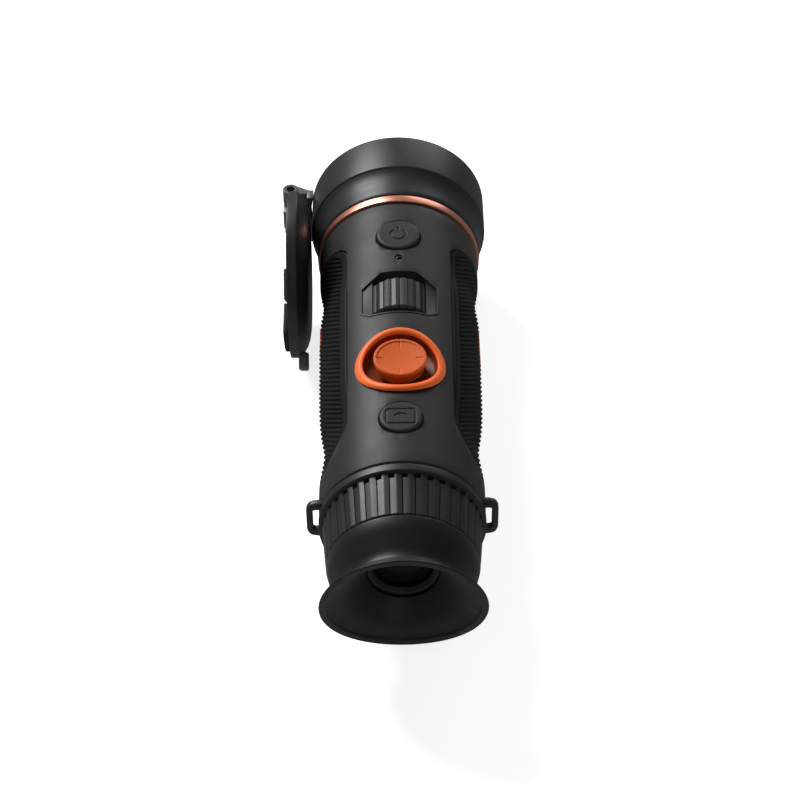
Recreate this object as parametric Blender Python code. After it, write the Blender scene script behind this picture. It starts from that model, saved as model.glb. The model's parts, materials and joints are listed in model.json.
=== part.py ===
"""Hand-held thermal imaging monocular, modelled as its separate pieces.

Frame: origin at the mouth of the tripod socket under the body, +Y along the optical axis
towards the objective, +X to the right as the user looks through it, +Z up.
All sizes below are millimetres; MM turns them into Blender's metres.
"""
import math

import bmesh
import bpy
from mathutils import Matrix

MM = 0.001
GAP = 0.3                     # air left between neighbouring pieces
AXIS_Z = 31.5                 # optical axis above the tripod socket's mouth

# Facets round a turned part
LARGE = 48
MEDIUM = 28
SMALL = 14

# Main housing, stations along Y
HOUSING_REAR = -76.6
HOUSING_FRONT = 52.3
SPIGOT_END = 61.0
REAR_RADIUS = 27.4
FRONT_RADIUS = 29.0
BORE = 22.3
SPIGOT_BORE = 23.5
SPIGOT_RADIUS = 26.0

# Objective
COPPER_REAR = 52.6
COPPER_FRONT = 55.9
COPPER_RADIUS = 29.7
BELL_REAR = 56.3
BELL_STEP = 69.3
BELL_FRONT = 87.0
BELL_RADIUS = 32.4
MOUTH_RADIUS = 29.3

# Top controls
POWER_Y = 34.4
POWER_RADIUS = 7.75
LED_Y = 22.6
PHOTO_Y = -56.5
PHOTO_RADIUS = 7.1
BUTTON_RISE = 0.6
JOYSTICK_Y = -29.6
BEZEL_RADIUS = 15.3
STICK_RADIUS = 9.0
STICK_TOP = 29.5              # above the optical axis
STICK_PIVOT = 18.0            # above the optical axis

# Focus drive
WHEEL_Y = 3.4
WHEEL_LENGTH = 16.2
WHEEL_RADIUS = 12.2
WHEEL_Z = 17.5                # wheel axis above the optical axis
WHEEL_FLUTES = 26
POCKET_FLOOR = 24.4
GEAR_MODULE = 0.7
PINION_TEETH = 10
RING_TEETH = 40
GEAR_Y = 25.0
GEAR_WIDTH = 4.0

# Side grips, angles measured from straight up
PAD_TOP_ANGLE = 40.0
PAD_FRONT = 40.0
PAD_REAR = -65.0
PAD_FLOOR = 24.4
PAD_INSIDE = 25.2

# Eyepiece end
DIOPTER_FRONT = -77.1
DIOPTER_REAR = -97.0
EYECUP_FRONT = -97.3
EYECUP_RIM = -114.0

# Lens cap, shown folded back beside the body
CAP_X = -38.0
CAP_Y = 47.0
CAP_RADIUS = 30.6
CAP_TAB_ANGLE = 45.0
HINGE_X = -40.5
HINGE_Y = 87.5

# Underside
BASE_HALF_WIDTH = 11.0
BASE_REAR = -16.0
BASE_FRONT = 22.0
USB_Y = -60.0
BATTERY_RADIUS = 9.2
BATTERY_Z = -11.2


# ---------------------------------------------------------------- scene and materials

for old in list(bpy.data.objects):
    bpy.data.objects.remove(old, do_unlink=True)


def principled(name, colour, roughness, metallic=0.0, alpha=1.0):
    """A plain Principled material."""
    material = bpy.data.materials.new(name)
    material.use_nodes = True
    shader = material.node_tree.nodes["Principled BSDF"]
    shader.inputs["Base Color"].default_value = (*colour, 1.0)
    shader.inputs["Roughness"].default_value = roughness
    shader.inputs["Metallic"].default_value = metallic
    shader.inputs["Alpha"].default_value = alpha
    material.diffuse_color = (*colour, alpha)
    return material


SOFT_BLACK = principled("soft_black_plastic", (0.035, 0.035, 0.036), 0.55)
GRIP_RUBBER = principled("grip_rubber", (0.02, 0.02, 0.02), 0.75)
CUP_RUBBER = principled("eyecup_rubber", (0.022, 0.022, 0.022), 0.7)
ANODISED = principled("dark_anodised_aluminium", (0.045, 0.048, 0.053), 0.38, 0.6)
COPPER = principled("copper_trim", (0.78, 0.36, 0.25), 0.3, 0.85)
ORANGE = principled("orange_plastic", (0.80, 0.12, 0.02), 0.4)
GERMANIUM = principled("germanium_lens", (0.22, 0.2, 0.19), 0.12, 0.7)
GLASS = principled("eyepiece_glass", (0.75, 0.8, 0.85), 0.05, 0.0, 0.35)
STEEL = principled("steel", (0.55, 0.55, 0.56), 0.35, 1.0)
BRASS = principled("brass", (0.68, 0.5, 0.22), 0.35, 1.0)
BOARD = principled("circuit_board", (0.02, 0.16, 0.07), 0.5)
CHIP = principled("moulded_module", (0.03, 0.03, 0.03), 0.5)
CELL_WRAP = principled("battery_wrap", (0.05, 0.14, 0.35), 0.4)


# ---------------------------------------------------------------- modelling helpers

def finish_mesh(name, bm, material, location, rotation):
    """Make one object of a bmesh: closed, facing out, smooth where it is round."""
    bmesh.ops.remove_doubles(bm, verts=bm.verts, dist=1e-6)
    bmesh.ops.recalc_face_normals(bm, faces=bm.faces)
    mesh = bpy.data.meshes.new(name)
    bm.to_mesh(mesh)
    bm.free()
    mesh.shade_smooth()
    mesh.set_sharp_from_angle(angle=math.radians(32))
    piece = bpy.data.objects.new(name, mesh)
    bpy.context.collection.objects.link(piece)
    piece.location = [value * MM for value in location]
    piece.rotation_euler = rotation
    if material is not None:
        mesh.materials.append(material)
    return piece


ALONG = {"X": (0, math.radians(90), 0), "Y": (math.radians(-90), 0, 0), "Z": (0, 0, 0)}


def turned(name, profile, material, centre=(0, 0, AXIS_Z), axis="Y", steps=MEDIUM):
    """A lathe part: a closed outline of (along the axis, radius) points spun about the axis."""
    bm = bmesh.new()
    points = [bm.verts.new((radius * MM, 0, along * MM)) for along, radius in profile]
    edges = [bm.edges.new(pair) for pair in zip(points, points[1:])]
    if profile[0][1] > 0 or profile[-1][1] > 0:
        edges.append(bm.edges.new((points[-1], points[0])))
    bmesh.ops.spin(bm, geom=points + edges, cent=(0, 0, 0), axis=(0, 0, 1),
                   angle=math.tau, steps=steps, use_merge=True, use_duplicate=False)
    return finish_mesh(name, bm, material, centre, ALONG[axis])


def rod(name, radius, start, end, material, centre, axis="Z", steps=SMALL):
    """A plain cylinder from start to end along the axis, about centre."""
    outline = [(start, 0), (start, radius), (end, radius), (end, 0)]
    return turned(name, outline, material, centre, axis, steps)


def washer(name, outer, inner, start, end, material, centre=(0, 0, AXIS_Z), axis="Y", steps=MEDIUM):
    """A plain ring from start to end along the axis."""
    outline = [(start, inner), (start, outer), (end, outer), (end, inner)]
    return turned(name, outline, material, centre, axis, steps)


def lofted(name, rings, material, location=(0, 0, 0), ends="cap", rotation=(0, 0, 0)):
    """A body through equal closed rings of points; ends are capped or joined in a loop."""
    bm = bmesh.new()
    rows = [[bm.verts.new([value * MM for value in point]) for point in ring] for ring in rings]
    pairs = list(zip(rows, rows[1:]))
    if ends == "loop":
        pairs.append((rows[-1], rows[0]))
    else:
        bm.faces.new(rows[0])
        bm.faces.new(rows[-1])
    count = len(rings[0])
    for row, following in pairs:
        for index in range(count):
            after = (index + 1) % count
            bm.faces.new((row[index], row[after], following[after], following[index]))
    return finish_mesh(name, bm, material, location, rotation)


def extruded(name, outline, low, high, material, location=(0, 0, 0), rotation=(0, 0, 0)):
    """A flat outline of (x, y) points extruded along local Z from low to high."""
    rings = [[(x, y, level) for x, y in outline] for level in (low, high)]
    return lofted(name, rings, material, location, "cap", rotation)


def block(name, low, high, material, bevel=0.0):
    """A box between two corners; its origin is its centre, its edges may be bevelled."""
    centre = [(a + b) / 2 for a, b in zip(low, high)]
    bm = bmesh.new()
    size = Matrix.Diagonal([(b - a) * MM for a, b in zip(low, high)] + [1])
    bmesh.ops.create_cube(bm, size=1, matrix=size)
    if bevel:
        bmesh.ops.bevel(bm, geom=bm.edges, offset=bevel * MM, segments=2, profile=0.5,
                        affect="EDGES")
    return finish_mesh(name, bm, material, centre, (0, 0, 0))


def boolean(piece, tool, operation="DIFFERENCE"):
    """Cut a piece with a tool, or join or keep what they share; the tool is never built."""
    tool.hide_render = True
    tool.display_type = "WIRE"
    change = piece.modifiers.new(tool.name, "BOOLEAN")
    change.operation = operation
    change.solver = "EXACT"
    change.object = tool
    return piece


def hang_on(parent_name, point, *pieces):
    """Parent pieces to an empty that stands on their joint's axis."""
    pivot = bpy.data.objects.new(parent_name, None)
    pivot.location = [value * MM for value in point]
    bpy.context.collection.objects.link(pivot)
    for piece in pieces:
        piece.parent = pivot
        piece.matrix_parent_inverse = Matrix.Translation([-value * MM for value in point])


def body_radius(y):
    """Outer radius of the slightly tapered housing at station y."""
    share = (y - HOUSING_REAR) / (HOUSING_FRONT - HOUSING_REAR)
    return REAR_RADIUS + (FRONT_RADIUS - REAR_RADIUS) * share


def polar(radius, degrees_from_top, y):
    """A point at an angle from straight up, seen from behind with +X to the right."""
    angle = math.radians(degrees_from_top)
    return (radius * math.sin(angle), y, AXIS_Z + radius * math.cos(angle))


def rounded_rectangle(half_width, half_height, corner, steps=4):
    """Outline of a rectangle with round corners, centred on (0, 0)."""
    points = []
    for quarter in range(4):
        sign_x = (1, -1, -1, 1)[quarter]
        sign_y = (1, 1, -1, -1)[quarter]
        for step in range(steps + 1):
            angle = math.radians(90 * quarter + 90 * step / steps)
            points.append((sign_x * (half_width - corner) + corner * math.cos(angle),
                           sign_y * (half_height - corner) + corner * math.sin(angle)))
    return points


def toothed(teeth, root, tip, root_share, tip_share):
    """Outline of a wheel with straight-flanked teeth; the shares are parts of one pitch."""
    points = []
    pitch = math.tau / teeth
    for tooth in range(teeth):
        middle = tooth * pitch
        for radius, offset in ((root, -root_share), (tip, -tip_share),
                               (tip, tip_share), (root, root_share)):
            angle = middle + offset * pitch / 2
            points.append((radius * math.cos(angle), radius * math.sin(angle)))
    return points


# ---------------------------------------------------------------- side grips

def pad_edge_angle(y):
    """Angle of a grip's upper edge: square in the middle, swept away at both ends."""
    front_turn = PAD_FRONT - 8.0
    rear_turn = PAD_REAR + 15.0
    if y > front_turn:
        share = min(1.0, (y - front_turn) / 8.0)
        return PAD_TOP_ANGLE + 35.0 * (1 - math.sqrt(1 - share * share))
    if y < rear_turn:
        share = min(1.0, (rear_turn - y) / 15.0)
        return PAD_TOP_ANGLE + 46.0 * (1 - math.sqrt(1 - share * share))
    return PAD_TOP_ANGLE


def pad_radius(y):
    """Outer radius of a grip: two shallow waists for the fingers."""
    waist_front = 1.45 * math.exp(-((y - 26.0) / 9.0) ** 2)
    waist_rear = 1.75 * math.exp(-((y + 48.0) / 11.0) ** 2)
    return body_radius(y) + 0.15 - waist_front - waist_rear


def pad_stations(middle_steps):
    """Stations along a grip, close together where its edge turns."""
    front_turn = PAD_FRONT - 8.0
    rear_turn = PAD_REAR + 15.0
    rear = [rear_turn - 15.0 * math.sin(math.radians(90 * k / 5)) for k in range(5, 0, -1)]
    straight = [rear_turn + (front_turn - rear_turn) * k / middle_steps
                for k in range(middle_steps + 1)]
    front = [front_turn + 8.0 * math.sin(math.radians(90 * k / 4)) for k in range(1, 5)]
    return rear + straight + front


def wrapped_slab(name, side, grow, inside, outside, middle_steps, material):
    """A slab wrapped round the housing over a grip's outline, grown by a margin."""
    columns = 7
    rings = []
    stations = pad_stations(middle_steps)
    for y in stations:
        top = pad_edge_angle(y) - math.degrees(grow / 28.0)
        angles = [top + (180 - 2 * top) * k / (columns - 1) for k in range(columns)]
        place = y
        if y < PAD_REAR + 14.9:
            place = y - grow
        if y > PAD_FRONT - 7.9:
            place = y + grow
        outer = [polar(outside(y), side * angle, place) for angle in angles]
        inner = [polar(inside, side * angle, place) for angle in reversed(angles)]
        rings.append(outer + inner)
    return lofted(name, rings, material)


def accent_window(name, side, rear, front, grow, inside, outside, material):
    """A small curved plate on the side of the body, for the accent bar and its window."""
    half_angle = math.degrees((3.6 + grow) / 28.0)
    rings = []
    for y in (rear - grow, front + grow):
        angles = [90 - half_angle + half_angle * 2 * k / 4 for k in range(5)]
        outer = [polar(outside, side * angle, y) for angle in angles]
        inner = [polar(inside, side * angle, y) for angle in reversed(angles)]
        rings.append(outer + inner)
    return lofted(name, rings, material)


ACCENTS = {"right": (1, -4.4, 12.0), "left": (-1, 5.0, 14.0)}


def make_grips():
    """Left and right rubber grips, each with an orange accent bar set into it."""
    for label, (side, rear, front) in ACCENTS.items():
        pad = wrapped_slab(f"{label}_grip_pad", side, 0.0, PAD_INSIDE, pad_radius, 9,
                           GRIP_RUBBER)
        window = accent_window(f"cut_{label}_accent", side, rear, front, GAP, 20.0, 34.0, None)
        boolean(pad, window)
        accent_window(f"{label}_accent_bar", side, rear, front, 0.0, PAD_INSIDE,
                      body_radius(rear) + 0.1, ORANGE)


# ---------------------------------------------------------------- main housing

def pocket_outline(margin):
    """Six-sided outline of the focus wheel's pocket in plan, pulled in by a margin."""
    half = 13.9 - margin
    front = 16.1 - margin
    rear = -6.4 + margin
    return [(6.8, front), (-6.8, front), (-half, front - 6.2), (-half, rear + 2.6),
            (-half + 3.4, rear), (half - 3.4, rear), (half, rear + 2.6), (half, front - 6.2)]


def make_housing():
    """The tapered tube that carries everything, with its openings cut."""
    profile = [(HOUSING_REAR, BORE), (HOUSING_REAR, REAR_RADIUS - 0.5),
               (HOUSING_REAR + 0.5, REAR_RADIUS), (HOUSING_FRONT - 0.6, FRONT_RADIUS),
               (HOUSING_FRONT, FRONT_RADIUS - 0.6), (HOUSING_FRONT, SPIGOT_RADIUS),
               (SPIGOT_END, SPIGOT_RADIUS), (SPIGOT_END, SPIGOT_BORE),
               (46.0, SPIGOT_BORE), (46.0, BORE)]
    housing = turned("main_housing", profile, SOFT_BLACK, steps=LARGE)
    for label, side in (("right", 1), ("left", -1)):
        recess = wrapped_slab(f"cut_{label}_pad", side, 2 * GAP, PAD_FLOOR, lambda y: 34.0, 1, None)
        boolean(housing, recess)
        foot = block(f"cut_{label}_lug", (side * 28.0 - 3.2, -76.4, AXIS_Z - 8.2),
                     (side * 28.0 + 3.2, -73.6, AXIS_Z + 8.2), None)
        boolean(housing, foot)
    for name, y, radius in (("cut_power", POWER_Y, POWER_RADIUS + GAP), ("cut_led", LED_Y, 1.3),
                            ("cut_photo", PHOTO_Y, PHOTO_RADIUS + GAP),
                            ("cut_joystick", JOYSTICK_Y, BEZEL_RADIUS - 0.4)):
        boolean(housing, rod(name, radius, 0, 30, None, (0, y, AXIS_Z + 10), steps=MEDIUM))
    boolean(housing, extruded("cut_wheel", pocket_outline(0.0), 12, 40, None, (0, 0, AXIS_Z)))
    boolean(housing, rod("cut_bush", 5.1, -1, 7.9, None, (0, 0, 0)))
    for y in (BASE_REAR + 5.0, BASE_FRONT - 7.0):
        boolean(housing, rod(f"cut_base_screw_{y:.0f}", 1.45, -1, 8.2, None, (0, y, 0)))
    boolean(housing, block("cut_usb_recess", (-8.5, USB_Y - 6.0, 0), (8.5, USB_Y + 8.6, 6.2), None))
    boolean(housing, block("cut_usb_hole", (-4.9, USB_Y - 2.1, 5), (4.9, USB_Y + 2.1, 12), None))


# ---------------------------------------------------------------- objective end

def make_objective():
    """Copper trim ring, flared bell, and the germanium lens in its cell."""
    washer("copper_ring", COPPER_RADIUS, SPIGOT_RADIUS + GAP, COPPER_REAR, COPPER_FRONT, COPPER,
           steps=LARGE)
    neck = [(BELL_REAR, 29.8), (61.0, 30.05), (64.6, 30.5), (66.8, 31.1), (BELL_STEP - 0.4, 31.95)]
    rim = [(BELL_STEP, BELL_RADIUS), (BELL_FRONT - 0.7, BELL_RADIUS),
           (BELL_FRONT, BELL_RADIUS - 0.7), (BELL_FRONT, MOUTH_RADIUS + 0.5)]
    inside = [(BELL_FRONT - 0.5, MOUTH_RADIUS), (66.0, 26.3), (BELL_REAR, 26.3)]
    turned("objective_bell", neck + rim + inside, ANODISED, steps=LARGE)
    turned("objective_cell", [(48.0, 19.5), (48.0, 23.2), (61.3, 23.2), (61.3, 25.8), (64.5, 25.8),
                              (64.5, 21.6), (52.0, 21.6), (52.0, 19.5)], ANODISED)
    back = [(53.6 - 1.2 * (k / 4) ** 2, 21.3 * k / 4) for k in range(5)]
    front = [(60.4 - 2.4 * (k / 4) ** 2, 21.3 * k / 4) for k in range(4, -1, -1)]
    turned("front_lens", back + front, GERMANIUM)
    turned("lens_retainer", [(60.9, 19.9), (60.9, 21.3), (64.3, 21.3), (64.3, 20.6),
                             (62.6, 19.9)], ANODISED)


# ---------------------------------------------------------------- focus drive

def make_focus_drive():
    """The fluted wheel on top, its shaft and pinion, and the geared focusing ring."""
    centre = (0, WHEEL_Y, AXIS_Z + WHEEL_Z)
    half = WHEEL_LENGTH / 2
    fluted = toothed(WHEEL_FLUTES, WHEEL_RADIUS - 0.55, WHEEL_RADIUS, 0.86, 0.45)
    wheel = extruded("focus_wheel", fluted, -half, half, ANODISED, centre, ALONG["Y"])
    boolean(wheel, rod("cut_wheel_bore", 1.6, -half - 1, half + 1, None, centre, "Y"))
    rod("focus_shaft", 1.5, -half - 1.2, 24.2, STEEL, centre, "Y")
    middle = (0, GEAR_Y, AXIS_Z + WHEEL_Z)
    for label, teeth, place, phase in (("focus_pinion", PINION_TEETH, middle, 0.5),
                                       ("focus_ring", RING_TEETH, (0, GEAR_Y, AXIS_Z), 0.0)):
        radius = teeth * GEAR_MODULE / 2
        outline = toothed(teeth, radius - 1.15 * GEAR_MODULE, radius + 0.8 * GEAR_MODULE, 0.5, 0.2)
        turn = math.radians(90) + phase * math.tau / teeth
        spun = [(x * math.cos(turn) - y * math.sin(turn), x * math.sin(turn) + y * math.cos(turn))
                for x, y in outline]
        gear = extruded(label, spun, -GEAR_WIDTH / 2, GEAR_WIDTH / 2, BRASS, place, ALONG["Y"])
        if label == "focus_pinion":
            boolean(gear, rod("cut_pinion_bore", 1.6, -3, 3, None, place, "Y"))
        else:
            sleeve = rod("join_ring_sleeve", 12.9, -2.4, 8.6, None, place, "Y", MEDIUM)
            boolean(gear, sleeve, "UNION")
            boolean(gear, rod("cut_ring_bore", 12.0, -5, 12, None, place, "Y", MEDIUM))
    washer("focus_ring_mount", BORE - GAP, 13.2, 28.2, 31.0, ANODISED)
    turned("focus_cell", [(24.4, 8.9), (24.4, 11.7), (32.6, 11.7), (32.6, 9.9), (26.4, 9.9),
                          (26.4, 8.9)], ANODISED)
    front = [(30.6 + 0.9 * (k / 2) ** 2, 9.6 * k / 2) for k in range(2, -1, -1)]
    turned("focus_lens", [(26.7, 0), (26.7, 9.6)] + front, GERMANIUM)


def make_wheel_bezel():
    """The framed pocket that the focus wheel stands in."""
    bezel = extruded("wheel_bezel", pocket_outline(GAP), 19.6, 32.0, SOFT_BLACK, (0, 0, AXIS_Z))
    boolean(bezel, rod("keep_wheel_bezel", 28.25, -20, 30, None, (0, 0, AXIS_Z), "Y", LARGE),
            "INTERSECT")
    floor = extruded("cut_pocket_floor", pocket_outline(1.1), POCKET_FLOOR, 40, None,
                     (0, 0, AXIS_Z))
    boolean(bezel, floor)
    slot = block("cut_wheel_slot", (-10.3, WHEEL_Y - 9.0, AXIS_Z + 10),
                 (10.3, WHEEL_Y + 9.0, AXIS_Z + 40), None)
    boolean(bezel, slot)
    hollow = rod("cut_bezel_underside", WHEEL_RADIUS + 0.5, -8.9, 8.9, None,
                 (0, WHEEL_Y, AXIS_Z + WHEEL_Z), "Y", MEDIUM)
    boolean(bezel, hollow)


# ---------------------------------------------------------------- detector and boards

def make_electronics():
    """Detector core with its shutter, the boards, the battery and the display."""
    detector = block("detector_module", (-13, 16.0, AXIS_Z - 13), (13, 20.6, AXIS_Z + 13), CHIP, 0.5)
    boolean(detector, rod("cut_detector_window", 6.0, 18.4, 22, None, (0, 0, AXIS_Z), "Y"))
    block("detector_board", (-13.5, 13.6, AXIS_Z - 13.5), (13.5, 15.2, AXIS_Z + 13.5), BOARD)
    pivot = (16.4, 0, AXIS_Z - 8.0)
    rod("shutter_motor", 2.9, 16.0, 20.6, STEEL, pivot, "Y")
    blade = rod("shutter_blade", 6.0, 21.1, 21.6, STEEL, (12.0, 0, AXIS_Z + 9.7), "Y")
    arm = [(-1.4, -1.4), (1.4, -1.4), (1.4, 12.6), (-1.4, 12.6)]
    lean = math.radians(14)
    leaning = [(x * math.cos(lean) - z * math.sin(lean), x * math.sin(lean) + z * math.cos(lean))
               for x, z in arm]
    boolean(blade, extruded("join_shutter_arm", [(x, -z) for x, z in leaning], 21.1, 21.6, None,
                            pivot, ALONG["Y"]), "UNION")
    hang_on("shutter_pivot", pivot, blade)
    block("main_board", (-18, -66, AXIS_Z - 0.8), (18, 7, AXIS_Z + 0.8), BOARD)
    rod("battery", BATTERY_RADIUS, -52.5, 12.5, CELL_WRAP, (0, 0, AXIS_Z + BATTERY_Z), "Y", MEDIUM)
    outer = BATTERY_RADIUS + 1.5
    inner = BATTERY_RADIUS + GAP
    arc = [math.radians(180 + 180 * k / 12) for k in range(13)]
    channel = [(outer * math.cos(a), -outer * math.sin(a)) for a in arc]
    channel += [(inner * math.cos(a), -inner * math.sin(a)) for a in reversed(arc)]
    extruded("battery_cradle", channel, -50.0, 10.0, CHIP, (0, 0, AXIS_Z + BATTERY_Z), ALONG["Y"])
    block("key_board", (-11, -68, AXIS_Z + 12.8), (11, -16, AXIS_Z + 14.2), BOARD)
    block("power_board", (-5, 31.4, AXIS_Z + 19.4), (5, 38.6, AXIS_Z + 20.6), BOARD)
    for label, y, base, top in (("power_switch", POWER_Y, 20.9, 24.2),
                                ("photo_switch", PHOTO_Y, 14.5, 23.3)):
        turned(label, [(base, 0), (base, 3.3), (top - 1.3, 3.3), (top - 1.3, 1.6), (top, 1.6),
                       (top, 0)], STEEL, (0, y, AXIS_Z), "Z", SMALL)
    block("display_module", (-8, -76.0, AXIS_Z - 6.5), (8, -72.0, AXIS_Z + 6.5), CHIP, 0.4)


# ---------------------------------------------------------------- buttons and joystick

def make_buttons():
    """Two round push buttons and the status light between the copper ring and the wheel."""
    for label, y, radius, foot in (("power_button", POWER_Y, POWER_RADIUS, 24.9),
                                   ("photo_button", PHOTO_Y, PHOTO_RADIUS, 24.0)):
        top = body_radius(y) + BUTTON_RISE
        turned(label, [(foot, 0), (foot, radius), (top - 0.5, radius), (top - 0.15, radius - 0.15),
                       (top, radius - 0.5), (top + 0.05, 0)], SOFT_BLACK, (0, y, AXIS_Z), "Z")
    rod("status_light", 1.0, 23.0, body_radius(LED_Y) + 0.1, GLASS, (0, LED_Y, AXIS_Z), "Z")


def make_joystick_bezel():
    """The orange rim that follows the round body, with the well inside it."""
    rest = body_radius(JOYSTICK_Y)
    rim = [(14.5, 0.2), (BEZEL_RADIUS, 0.3), (BEZEL_RADIUS, 0.55), (15.0, 1.0),
           (14.2, 1.3), (13.2, 1.2), (12.4, 0.5)]
    floor_top = 22.6
    floor_bottom = 21.5
    rings = []
    for step in range(MEDIUM):
        angle = math.tau * step / MEDIUM
        ring = []
        for reach, height in rim:
            x = reach * math.cos(angle)
            ring.append((x, reach * math.sin(angle), math.sqrt(rest * rest - x * x) + height))
        for reach, level in ((11.4, floor_top), (3.5, floor_top), (3.5, floor_bottom),
                             (14.3, floor_bottom)):
            ring.append((reach * math.cos(angle), reach * math.sin(angle), level))
        rings.append(ring)
    lofted("joystick_bezel", rings, ORANGE, (0, JOYSTICK_Y, AXIS_Z), "loop")


def make_joystick():
    """Five-way stick: tray on the key board, gimbal ring, carrier, sliding stem and cap."""
    pivot = (0, JOYSTICK_Y, AXIS_Z + STICK_PIVOT)
    tray = block("joystick_tray", (-8.2, JOYSTICK_Y - 8.2, AXIS_Z + 14.5),
                 (8.2, JOYSTICK_Y + 8.2, AXIS_Z + 19.6), CHIP)
    boolean(tray, block("cut_tray", (-7.0, JOYSTICK_Y - 7.0, AXIS_Z + 15.3),
                        (7.0, JOYSTICK_Y + 7.0, AXIS_Z + 21), None))
    boolean(tray, rod("cut_tray_pins", 1.15, -10, 10, None, pivot, "X"))
    gimbal = washer("joystick_gimbal", 6.3, 5.1, -1.0, 1.0, STEEL, pivot, "Z", SMALL)
    boolean(gimbal, rod("join_gimbal_pins", 0.8, -7.9, 7.9, None, pivot, "X"), "UNION")
    boolean(gimbal, rod("cut_gimbal", 5.1, -3, 3, None, pivot))
    washer("joystick_carrier", 4.6, 2.3, -1.5, 1.5, CHIP, pivot, "Z", SMALL)
    top = STICK_TOP - STICK_PIVOT
    rod("joystick_stem", 2.0, -1.7, top - 3.0, STEEL, pivot)
    skirt = STICK_RADIUS - 0.7
    under = top - 4.6
    turned("joystick_cap", [(top - 2.7, 0), (top - 2.7, 6.6), (under, 7.1), (under, skirt),
                            (top - 1.5, skirt + 0.1), (top - 0.6, STICK_RADIUS),
                            (top, STICK_RADIUS - 0.6), (top - 0.1, STICK_RADIUS - 1.5),
                            (top - 0.8, 0)], ORANGE, pivot, "Z")


# ---------------------------------------------------------------- eyepiece end

def make_eyepiece():
    """Fixed tube, sliding lens cell, knurled dioptre ring and the soft slanted eyecup."""
    turned("eyepiece_tube", [(-76.3, 19.4), (-76.3, BORE - GAP), (-72.6, BORE - GAP), (-72.6, 17.0),
                             (-98.6, 17.0), (-98.6, 19.4)], ANODISED)
    turned("eyepiece_cell", [(-97.8, 12.6), (-97.8, 16.7), (-84.0, 16.7), (-84.0, 9.8),
                             (-87.4, 9.8), (-87.4, 11.0), (-96.6, 11.0), (-96.6, 12.6)],
           ANODISED)
    rear = [(-95.0 - 1.4 * (1 - (k / 4) ** 2), 10.7 * k / 4) for k in range(5)]
    turned("eye_lens", rear + [(-88.0, 10.7), (-87.9, 0)], GLASS)
    turned("eyepiece_retainer", [(-96.9, 9.9), (-96.9, 12.3), (-98.5, 12.3), (-98.5, 11.4),
                                 (-97.9, 10.9), (-97.0, 9.9)], ANODISED)
    tube_clear = 19.4 + GAP
    lip = [(DIOPTER_FRONT, tube_clear), (DIOPTER_FRONT, 27.0), (DIOPTER_FRONT - 0.5, 27.5),
           (-80.6, 27.5), (-81.0, 26.4)]
    knurl = [(-84.0, 26.1), (-94.6, 25.1), (DIOPTER_REAR, 25.1), (DIOPTER_REAR, tube_clear)]
    turned("diopter_ring", lip + knurl, ANODISED, steps=LARGE)
    make_eyecup()


def make_eyecup():
    """A waisted cup whose rim is slanted: further back on top than below."""
    inner_fit = 19.4 + GAP
    rings = []
    for step in range(LARGE):
        angle = math.tau * step / LARGE
        slant = -5.7 * math.cos(angle) + 1.0 * math.cos(2 * angle)
        rim = EYECUP_RIM + slant
        neck = -108.0 + 0.45 * slant
        base = EYECUP_FRONT
        section = [(base, inner_fit), (base, 25.0), (-102.2, 23.4), (neck + 1.6, 20.6),
                   (neck - 0.4, 19.7), (rim + 3.0, 24.2), (rim + 0.5, 27.05), (rim, 26.8),
                   (rim + 2.2, 23.6), (neck - 0.6, 17.9), (-101.2, 13.2), (-99.7, 13.2),
                   (-98.9, inner_fit)]
        rings.append([polar(radius, math.degrees(angle), along) for along, radius in section])
    centred = [[(x, y, z - AXIS_Z) for x, y, z in ring] for ring in rings]
    lofted("eyecup", centred, CUP_RUBBER, (0, 0, AXIS_Z), "loop")


# ---------------------------------------------------------------- strap lugs

def make_lugs():
    """A strap loop on each side, its foot let into the housing ahead of the dioptre ring."""
    half = 7.7
    for label, side in (("right", 1), ("left", -1)):
        outline = [(25.1, half), (25.1, -half), (28.2, -half), (30.2, -half + 0.5),
                   (31.5, -half + 2.4), (31.5, half - 2.4), (30.2, half - 0.5), (28.2, half)]
        loop = extruded(f"{label}_strap_lug", [(side * x, -z) for x, z in outline], -1.15, 1.15,
                        ANODISED, (0, -75.0, AXIS_Z), ALONG["Y"])
        hole = [(side * (x + 27.75), z) for x, z in rounded_rectangle(1.6, 4.6, 0.9, 3)]
        boolean(loop, extruded(f"cut_{label}_loop", hole, -3, 3, None, (0, -75.0, AXIS_Z),
                               ALONG["Y"]))


# ---------------------------------------------------------------- lens cap and hinge

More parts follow.
